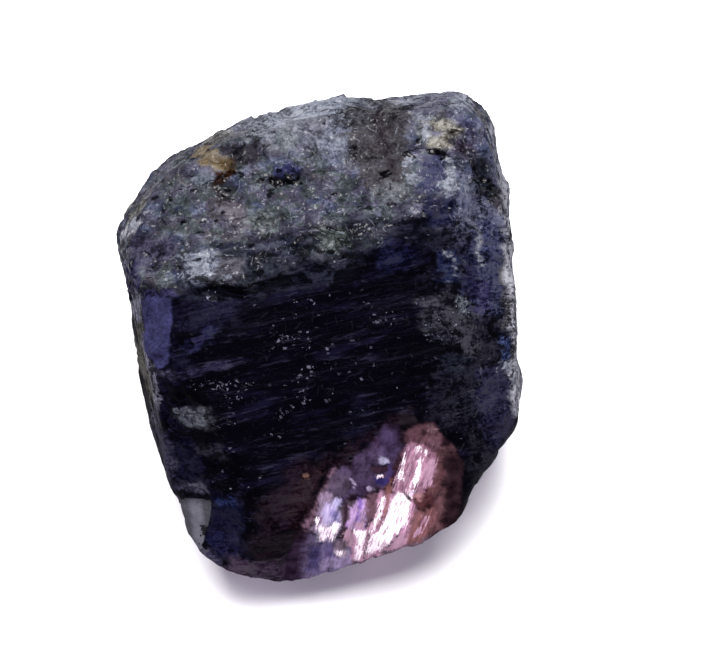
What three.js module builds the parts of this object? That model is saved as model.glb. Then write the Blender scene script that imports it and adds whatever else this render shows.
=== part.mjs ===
// A rough chunk of tanzanite: one broken crystal, worn to a blunt wedge, lying on its flattest side.
// Millimetres, +Z up. The origin is on the ground, below the middle of the crystal's bounding box.
import * as THREE from 'three';
import { mergeVertices } from 'three/addons/utils/BufferGeometryUtils.js';

// Every facet is measured from the crystal's heart, a point this high above the ground.
const heartHeight = 9.0;

// A higher power keeps the edges between facets sharper.
const edgeSharpness = 60;

// Mesh rows around the grain axis, and rows from one of its ends to the other.
const rowsAround = 80;
const rowsAlong = 42;

// Azimuth is measured from +X towards +Y and elevation up from the ground, both in degrees.
// The growth lines run along the grain axis.
const grain = { azimuth: 10, elevation: 6 };

// The crystal is what lies inside all of these planes. Reach is each one's distance from the heart.
const facets = [
  { name: 'dark striated face', azimuth: -87, elevation: 57, reach: 7.7 },
  { name: 'crust', azimuth: -152, elevation: 83, reach: 8.9 },
  { name: 'crust brow', azimuth: 100, elevation: 68, reach: 12.1 },
  { name: 'crust, left side', azimuth: 167, elevation: 64, reach: 10.2 },
  { name: 'right bevel', azimuth: -33, elevation: 52, reach: 10.4 },
  { name: 'left bevel', azimuth: -158, elevation: 33, reach: 11.1 },
  { name: 'clear window', azimuth: -63, elevation: 36, reach: 9.7 },
  { name: 'lower left facet', azimuth: -123, elevation: 32, reach: 10.8 },
  { name: 'toe', azimuth: -85, elevation: 8, reach: 12.8 },
  { name: 'right wall', azimuth: 0, elevation: 7, reach: 11.6 },
  { name: 'right wall bulge', azimuth: -6, elevation: 1, reach: 12.8 },
  { name: 'lower right slope', azimuth: -33, elevation: -15, reach: 12.5 },
  { name: 'right of the toe', azimuth: -69, elevation: -34, reach: 12.8 },
  { name: 'lower left slope', azimuth: -123, elevation: -32, reach: 13.7 },
  { name: 'left foot', azimuth: -153, elevation: -10, reach: 12.2 },
  { name: 'left wall, low', azimuth: -163, elevation: 0, reach: 10.7 },
  { name: 'left wall', azimuth: -168, elevation: 7, reach: 10.2 },
  { name: 'left corner', azimuth: 172, elevation: 16, reach: 12.6 },
  { name: 'left shoulder', azimuth: 152, elevation: 27, reach: 13.0 },
  { name: 'far left slope', azimuth: 127, elevation: 37, reach: 12.6 },
  { name: 'far slope', azimuth: 112, elevation: 44, reach: 13.0 },
  { name: 'far crest', azimuth: 97, elevation: 44, reach: 13.3 },
  { name: 'right knob', azimuth: 64, elevation: 40, reach: 16.7 },
  { name: 'right knob side', azimuth: 34, elevation: 27, reach: 15.8 },
  { name: 'right shoulder', azimuth: 8, elevation: 12, reach: 12.7 },
  { name: 'far wall', azimuth: 87, elevation: -7, reach: 12.7 },
  { name: 'undercut, far right', azimuth: 37, elevation: -25, reach: 12.6 },
  { name: 'undercut, far left', azimuth: 145, elevation: -27, reach: 12.8 },
  { name: 'undercut, right', azimuth: -17, elevation: -33, reach: 11.7 },
  { name: 'undercut, left', azimuth: -167, elevation: -30, reach: 11.3 },
  { name: 'undercut, toe', azimuth: -82, elevation: -47, reach: 12.7 },
  { name: 'resting face', azimuth: 0, elevation: -90, reach: heartHeight },
];

// Hollows where pieces have broken away: the way to each one's middle, its half width in degrees
// and its depth.
const chips = [
  { name: 'notch in the far crest', azimuth: 74, elevation: 33, halfWidth: 5, depth: 0.5 },
  { name: 'dip under the right bulge', azimuth: -43, elevation: -2, halfWidth: 9, depth: 0.4 },
  { name: 'step in the left foot', azimuth: -129, elevation: -1, halfWidth: 6, depth: 0.5 },
  { name: 'dip under the left corner', azimuth: -174, elevation: 6, halfWidth: 10, depth: 0.4 },
  { name: 'groove in the crust', azimuth: 56, elevation: 51, halfWidth: 6, depth: 0.4 },
  { name: 'scar on the far wall', azimuth: 100, elevation: -12, halfWidth: 14, depth: 0.7 },
];

// The grey crust stands proud of the dark face along a low ledge.
const ledge = { azimuth: 94, elevation: 32, reach: 3.2, height: 0.35, run: 0.5 };

// Low steps cross the grain on the faces below the ledge.
const steps = { spacing: 2.6, height: 0.16 };

// Broad unevenness everywhere above the resting face.
const waviness = { wavelength: 7.5, height: 0.14 };

// The underside is level, this far above where the rounded edges of the resting facet would leave it.
const flattening = 0.05;

// The relief fades out over this height above the ground, so that the resting face stays flat.
const reliefFade = 1.2;

function directionOf({ azimuth, elevation }) {
  const turn = THREE.MathUtils.degToRad(azimuth);
  const rise = THREE.MathUtils.degToRad(elevation);
  return new THREE.Vector3(Math.cos(rise) * Math.cos(turn), Math.cos(rise) * Math.sin(turn), Math.sin(rise));
}

const facetPlanes = facets.map((facet) => ({ normal: directionOf(facet), reach: facet.reach }));
const chipAxes = chips.map((chip) => ({ ...chip, axis: directionOf(chip) }));
const ledgeNormal = directionOf(ledge);
const grainAxis = directionOf(grain);
const acrossGrain = new THREE.Vector3(0, 0, 1).cross(grainAxis).normalize();

// Distance from the heart to the surface. The nearest facet sets it, and the power rounds the edges.
function facetDistance(direction) {
  let sum = 0;
  for (const { normal, reach } of facetPlanes) {
    const nearness = Math.max(0, direction.dot(normal)) * heartHeight / reach;
    sum += nearness ** edgeSharpness;
  }
  return heartHeight / sum ** (1 / edgeSharpness);
}

function chipDepth(direction) {
  let depth = 0;
  for (const chip of chipAxes) {
    const degreesAway = THREE.MathUtils.radToDeg(direction.angleTo(chip.axis));
    depth += chip.depth * Math.exp(-((degreesAway / chip.halfWidth) ** 2));
  }
  return depth;
}

// Height of the relief above the facets: the crust's ledge, the steps below it and the waviness.
function reliefHeight(point) {
  const beyondLedge = (point.dot(ledgeNormal) - ledge.reach) / ledge.run;
  const crust = THREE.MathUtils.smoothstep(beyondLedge, -1, 1);
  const stepPhase = point.dot(acrossGrain) / steps.spacing;
  const step = (stepPhase - Math.floor(stepPhase) - 0.5) * steps.height * (1 - crust);
  const turn = 2 * Math.PI / waviness.wavelength;
  const wave = Math.sin(turn * (point.x + point.z)) * Math.cos(turn * (point.y - 0.7 * point.z));
  return (crust - 0.5) * ledge.height + step + wave * waviness.height;
}

// A sphere's mesh, with its poles on the grain axis, is drawn out to the crystal's surface.
function crystalGeometry() {
  const sphere = new THREE.SphereGeometry(1, rowsAround, rowsAlong);
  sphere.applyQuaternion(new THREE.Quaternion().setFromUnitVectors(new THREE.Vector3(0, 1, 0), grainAxis));
  sphere.deleteAttribute('normal');
  sphere.deleteAttribute('uv');
  const geometry = mergeVertices(sphere, 1e-5);
  const place = geometry.getAttribute('position');
  const direction = new THREE.Vector3();
  const point = new THREE.Vector3();
  const floorLevel = flattening - heartHeight;
  for (let i = 0; i < place.count; i += 1) {
    direction.fromBufferAttribute(place, i).normalize();
    point.copy(direction).multiplyScalar(facetDistance(direction));
    const fade = THREE.MathUtils.smoothstep(point.z, floorLevel, floorLevel + reliefFade);
    point.addScaledVector(direction, (reliefHeight(point) - chipDepth(direction)) * fade);
    if (point.z < floorLevel) point.multiplyScalar(floorLevel / point.z);
    place.setXYZ(i, point.x, point.y, point.z);
  }
  geometry.computeBoundingBox();
  const box = geometry.boundingBox;
  geometry.translate(-(box.min.x + box.max.x) / 2, -(box.min.y + box.max.y) / 2, -box.min.z);
  geometry.computeVertexNormals();
  return geometry;
}

const crystalMaterial = new THREE.MeshStandardMaterial({ color: 0x2a2846, roughness: 0.35, metalness: 0 });
const crystal = new THREE.Mesh(crystalGeometry(), crystalMaterial);
crystal.name = 'tanzanite_crystal';

const chunk = new THREE.Group();
chunk.add(crystal);

export default chunk;
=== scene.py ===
import math

import bpy
import numpy as np
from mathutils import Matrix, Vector


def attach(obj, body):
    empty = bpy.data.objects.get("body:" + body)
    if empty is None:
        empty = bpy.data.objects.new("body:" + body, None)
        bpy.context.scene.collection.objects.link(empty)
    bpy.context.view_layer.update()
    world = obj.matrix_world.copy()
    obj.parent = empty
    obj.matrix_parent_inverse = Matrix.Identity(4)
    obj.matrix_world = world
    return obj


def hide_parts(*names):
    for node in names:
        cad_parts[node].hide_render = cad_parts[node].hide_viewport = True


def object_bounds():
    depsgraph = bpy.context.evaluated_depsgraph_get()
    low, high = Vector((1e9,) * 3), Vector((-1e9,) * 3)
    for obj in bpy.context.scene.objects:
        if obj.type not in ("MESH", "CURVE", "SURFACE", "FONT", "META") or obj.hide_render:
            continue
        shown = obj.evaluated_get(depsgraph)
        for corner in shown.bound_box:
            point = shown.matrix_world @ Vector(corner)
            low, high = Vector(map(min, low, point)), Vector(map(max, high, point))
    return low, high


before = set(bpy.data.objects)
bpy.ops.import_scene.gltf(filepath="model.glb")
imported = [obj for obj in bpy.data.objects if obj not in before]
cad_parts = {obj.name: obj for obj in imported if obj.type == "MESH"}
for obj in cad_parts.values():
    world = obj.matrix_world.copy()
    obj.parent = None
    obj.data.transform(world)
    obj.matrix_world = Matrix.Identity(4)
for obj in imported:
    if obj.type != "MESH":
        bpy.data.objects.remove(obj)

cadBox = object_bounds()
print("frame loaded")


def smooth(value, low, high):
    # 0 below low, 1 above high, and 3t^2 - 2t^3 between them; with low over high it falls instead
    t = np.clip((value - low) / (high - low), 0.0, 1.0)
    return t * t * (3.0 - 2.0 * t)


def directionOf(azimuth, elevation):
    # unit vector from an azimuth (from +X towards +Y) and an elevation, in degrees
    turn, rise = math.radians(azimuth), math.radians(elevation)
    return np.array([math.cos(rise) * math.cos(turn), math.cos(rise) * math.sin(turn), math.sin(rise)])


def scatter(cell, seed):
    # a fixed pseudo-random number from 0 to 1 for each lattice cell: the fraction of a large sine
    key = cell @ np.array([127.1, 311.7, 74.7]) + seed * 19.19
    wave = np.sin(key) * 43758.5453
    return wave - np.floor(wave)


def latticeNoise(points, seed):
    # random values at the corners of unit cells, blended smoothly between them, from -1 to 1
    cell = np.floor(points)
    part = points - cell
    part = part * part * (3.0 - 2.0 * part)
    total = np.zeros(len(points))
    for corner in np.ndindex(2, 2, 2):
        offset = np.array(corner, float)
        weight = np.prod(np.where(offset > 0.5, part, 1.0 - part), axis=1)
        total += weight * scatter(cell + offset, seed)
    return total * 2.0 - 1.0


def cloudNoise(points, octaves, seed):
    # lattice noise summed over octaves, each at twice the pitch and half the height
    total = np.zeros(len(points))
    for octave in range(octaves):
        total += latticeNoise(points * 2.0 ** octave + 7.3 * octave, seed + octave) * 0.5 ** octave
    return total / (2.0 - 2.0 ** (1 - octaves))


def brokenPlanes(points, seed, tilt=1.0):
    # broken facets: each point takes the tilted plane of its nearest jittered lattice point
    cell = np.floor(points)
    nearest = np.full(len(points), 9.0)
    height = np.zeros(len(points))
    for corner in np.ndindex(3, 3, 3):
        home = cell + np.array(corner, float) - 1.0
        jitter = np.stack([scatter(home, seed + k) for k in range(3)], axis=1)
        away = points - (home + 0.15 + 0.7 * jitter)
        distance = np.einsum("ij,ij->i", away, away)
        slope = np.stack([scatter(home, seed + 3 + k) for k in range(3)], axis=1) - 0.5
        closer = distance < nearest
        plane = tilt * np.einsum("ij,ij->i", away, slope) + 0.5 * (scatter(home, seed + 7) - 0.5)
        height = np.where(closer, plane, height)
        nearest = np.where(closer, distance, nearest)
    return height


def distanceToLine(u, v, u0, v0, u1, v1):
    # distance from each point to one straight stretch
    du, dv = u1 - u0, v1 - v0
    share = np.clip(((u - u0) * du + (v - v0) * dv) / (du * du + dv * dv), 0.0, 1.0)
    return np.hypot(u - u0 - share * du, v - v0 - share * dv)


def distanceToPath(u, v, path):
    # distance to the nearest stretch of an open path
    nearest = np.full(len(u), np.inf)
    for start, end in zip(path, path[1:]):
        nearest = np.minimum(nearest, distanceToLine(u, v, *start, *end))
    return nearest


def depthInside(u, v, outline):
    # distance to the nearest side of a closed outline, positive inside it
    corners = np.array(outline, float)
    inside = np.zeros(len(u), bool)
    for (u0, v0), (u1, v1) in zip(corners, np.roll(corners, -1, axis=0)):
        crossing = (v0 > v) != (v1 > v)
        rise = v1 - v0 if v1 != v0 else 1e-9
        inside ^= crossing & (u < (u1 - u0) * (v - v0) / rise + u0)
    nearest = distanceToPath(u, v, [*corners, corners[0]])
    return np.where(inside, nearest, -nearest)


lampGain = 4.6                           # how much brighter than its own share a surface looks in this light


def pigment(code):
    # the share of light that a surface gives back, from the colour it shows under the lamps, such as "6e6e7d"
    channels = np.array([int(code[k:k + 2], 16) / 255.0 for k in (0, 2, 4)])
    linear = np.where(channels <= 0.04045, channels / 12.92, ((channels + 0.055) / 1.055) ** 2.4)
    return np.minimum(linear / lampGain, 0.97)


# lengths are in millimetres from the crystal's heart, until the mesh is made
crystal = {
    "heart": (0.126, -0.028, 8.95),      # where the heart stands in the frame
    "grain": (10, 6),                    # azimuth and elevation of the growth lines
    "faceTilt": 60,                      # elevation that the maps below are laid out square to
    "sharpness": 90,                     # higher keeps the edges between facets crisper
    "rowsAround": 480,                   # points around each ring
    "rowsAlong": 206,                    # rings from one end of the grain to the other
    "rowsMiddle": 120,                   # the angle around the grain where they stand closest
    "rowsGathered": 0.2728,              # how strongly they gather there
    "tipsSpread": 0.18,                  # how much wider the rings stand near the two ends
    "facets": [                          # name, azimuth, elevation, reach
        ("dark striated face", -87, 57, 7.1),
        ("crust", -152, 83, 8.6),
        ("crust brow", 100, 68, 12.55),
        ("crust, left side", 167, 64, 10.1),
        ("right bevel", -33, 52, 9.8),
        ("left bevel", -158, 33, 10.95),
        ("clear window", -63, 36, 9.25),
        ("lower left facet", -123, 32, 10.0),
        ("toe", -85, 8, 12.4),
        ("right wall", 0, 3, 11.9),
        ("right wall bulge", -6, 1, 12.45),
        ("lower right slope", -33, -15, 12.54),
        ("right of the toe", -69, -34, 13.15),
        ("lower left slope", -123, -32, 13.8),
        ("left foot", -153, -10, 11.8),
        ("left wall, low", -163, -6, 11.05),
        ("left wall", -168, 2, 10.15),
        ("left corner", 172, 16, 12.46),
        ("left shoulder", 152, 27, 12.7),
        ("far left slope", 127, 37, 12.48),
        ("far slope", 112, 44, 12.36),
        ("far crest", 97, 44, 13.05),
        ("right knob", 64, 40, 16.58),
        ("right knob side", 34, 27, 15.7),
        ("right shoulder", 8, 12, 12.45),
        ("far wall", 87, -7, 12.9),
        ("undercut, far right", 37, -25, 12.95),
        ("undercut, far left", 145, -27, 13.6),
        ("undercut, right", -17, -33, 12.3),
        ("undercut, left", -167, -30, 13.8),
        ("undercut, toe", -82, -47, 13.0),
        ("resting face", 0, -90, 8.95),
    ],
    "chips": [                           # name, azimuth, elevation, half width in degrees, depth
        ("notch in the far crest", 74, 33, 3.0, 0.55),
        ("bump at the lower right", -52, -12, 5.5, -0.5),
        ("dip beside it", -67, -15, 3, 0.12),
        ("dent under the toe", -101, -21, 4, 0.35),
        ("dip under the left corner", 161, 0, 5, 0.6),
        ("dip below it", 154, -13, 5, 0.5),
        ("step at the lower left", -132, -8, 3, 0.6),
        ("step, lower end", -134, -17, 3, 0.35),
        ("dent above the step", -140, -15, 3.5, 0.3),
        ("dent by the ground", -145, -35, 6, 1.1),
        ("heel below the step", -121, -12, 4.5, -0.35),
        ("dip on the right shoulder", 18, 8, 4, 0.3),
        ("nick at the lower right", -31, -5, 2.2, 0.3),
        ("lower nick", -42, -5, 2.0, 0.3),
        ("bump on the right wall", -12, -4, 5, -0.45),
        ("bump below the right knob", 37, 11, 5, -0.4),
        ("swelling of the far crest", 52, 18, 8, -0.25),
        ("swelling beside it", 82, 23, 5, -0.1),
        ("scar on the far wall", 100, -12, 14, 0.7),
    ],
}

grainAxis = directionOf(*crystal["grain"])
levelAxis = np.cross([0.0, 0.0, 1.0], grainAxis)
levelAxis /= np.linalg.norm(levelAxis)
liftAxis = np.cross(grainAxis, levelAxis)

faceTilt = math.radians(crystal["faceTilt"])
upFace = np.array([0.0, math.sin(faceTilt), math.cos(faceTilt)])
outOfFace = np.array([0.0, -math.cos(faceTilt), math.sin(faceTilt)])

# places on the near side with a relief or a finish of their own, on a map laid over it: u runs right and v up
# the dark face: outline, lift over the surface, width of the border, how ragged it is
marks = {
    "crust": ([(-14, 4.6), (-11.1, 2.9), (-7.4, 2.6), (-6.5, 3.4), (-4, 2.9), (-0.8, 4.3), (1.9, 4.2),
        (3, 5.4), (4.8, 6.4), (6.9, 7), (8.7, 5.6), (14, 5), (14, 18), (-14, 18)], 0.18, 0.3, 0.7),
    "window": ([(3.8, -4.8), (4.5, -4.8), (5, -5.4), (5.6, -4.8), (6.6, -4.7), (7.2, -5.6), (7.8, -6.1),
        (8.3, -7.2), (8.2, -9), (7.6, -10.7), (7.2, -12), (7, -16), (-2.2, -16), (-1.7, -12.6), (-1.1, -11),
        (0, -9), (0.9, -7.1), (1.9, -7.2), (2.1, -6.7), (3, -6.1)], -0.1, 0.2, 0.15),
    "banded": ([(-14, 4), (-5, 2), (3, 3), (14, 3), (14, 9), (7, 8.5), (2, 7.2), (-3, 5.6), (-8, 5),
        (-14, 6)], 0.0, 0.3, 0.6),
    "fibrous": ([(7, 7.5), (8.6, 9), (13, 9), (13, -7.5), (9, -7.5), (7.2, -5.2), (7.4, -1), (6.8, 3)],
        0.0, 0.3, 0.8),
    "evenFace": ([(-7.2, 2.8), (5, 5), (7.6, 0), (7.2, -3.6), (5.2, -4.5), (3, -5.4), (0.2, -7),
        (-1.1, -10.8), (-3.6, -12), (-5, -8), (-6.4, -4)], 0.0, 0.3, 0.4),
    "leftPanel": ([(-9.8, 2.3), (-8, 2.2), (-8.05, 0.4), (-8.2, -1.5), (-8.8, -1.9), (-9.5, -0.8)],
        0.25, 0.1, 0.08),
    "glassFacet": ([(-10, -9.2), (-6, -9.2), (-6, -10.2), (-6.3, -11.2), (-6.5, -12.1), (-7.2, -12.3),
        (-11, -12.3)], -0.15, 0.12, 0.06),
    "paleLump": ([(-7.3, 4.3), (-5.7, 4.6), (-3.7, 4.3), (-3.8, 3), (-5.2, 3.1), (-6.5, 2.7), (-7.3, 2.7)],
        0.3, 0.2, 0.2),
    "lens": ([(-3.1, 9.6), (-0.9, 9.7), (-0.8, 8.8), (-2.7, 8.6)], -0.12, 0.1, 0.08),
    "deepBlueHigh": ([(6, 8), (7.8, 8), (7.8, 6.4), (6.1, 6.3)], -0.1, 0.15, 0.12),
    "deepBlueLow": ([(3, 5.4), (5.6, 5.5), (5.6, 3.8), (3.1, 3.8)], 0.12, 0.15, 0.15),
    "rightColumn": ([(8.8, 12.2), (10.1, 12), (10.7, 6.2), (10.9, 0.4), (9.2, 1.6), (7.6, 2.1), (7.2, 4.9),
        (7.8, 7.9)], 0.1, 0.2, 0.15),
    "rightLow": ([(8.7, -3.2), (10.5, -3.1), (11.2, -4.9), (9.9, -6.5), (7.8, -5.8)], 0.08, 0.2, 0.15),
    "speckledRight": ([(5.5, 2), (7, 2.3), (8.4, 1.3), (8.9, -0.8), (8.1, -0.6), (7.6, 0.1), (6.1, 0.1)],
        0.08, 0.2, 0.4),
    "silver": ([(6.2, 12.3), (7.8, 12.3), (8.2, 11.6), (7.6, 10.7), (6.2, 10.5), (6, 11.3)],
        0.08, 0.15, 0.2),
    "whiteLow": ([(-8, -3.9), (-5.8, -4.1), (-5.5, -5), (-7.1, -5.1), (-8, -4.6)], 0.12, 0.2, 0.2),
}

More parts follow.
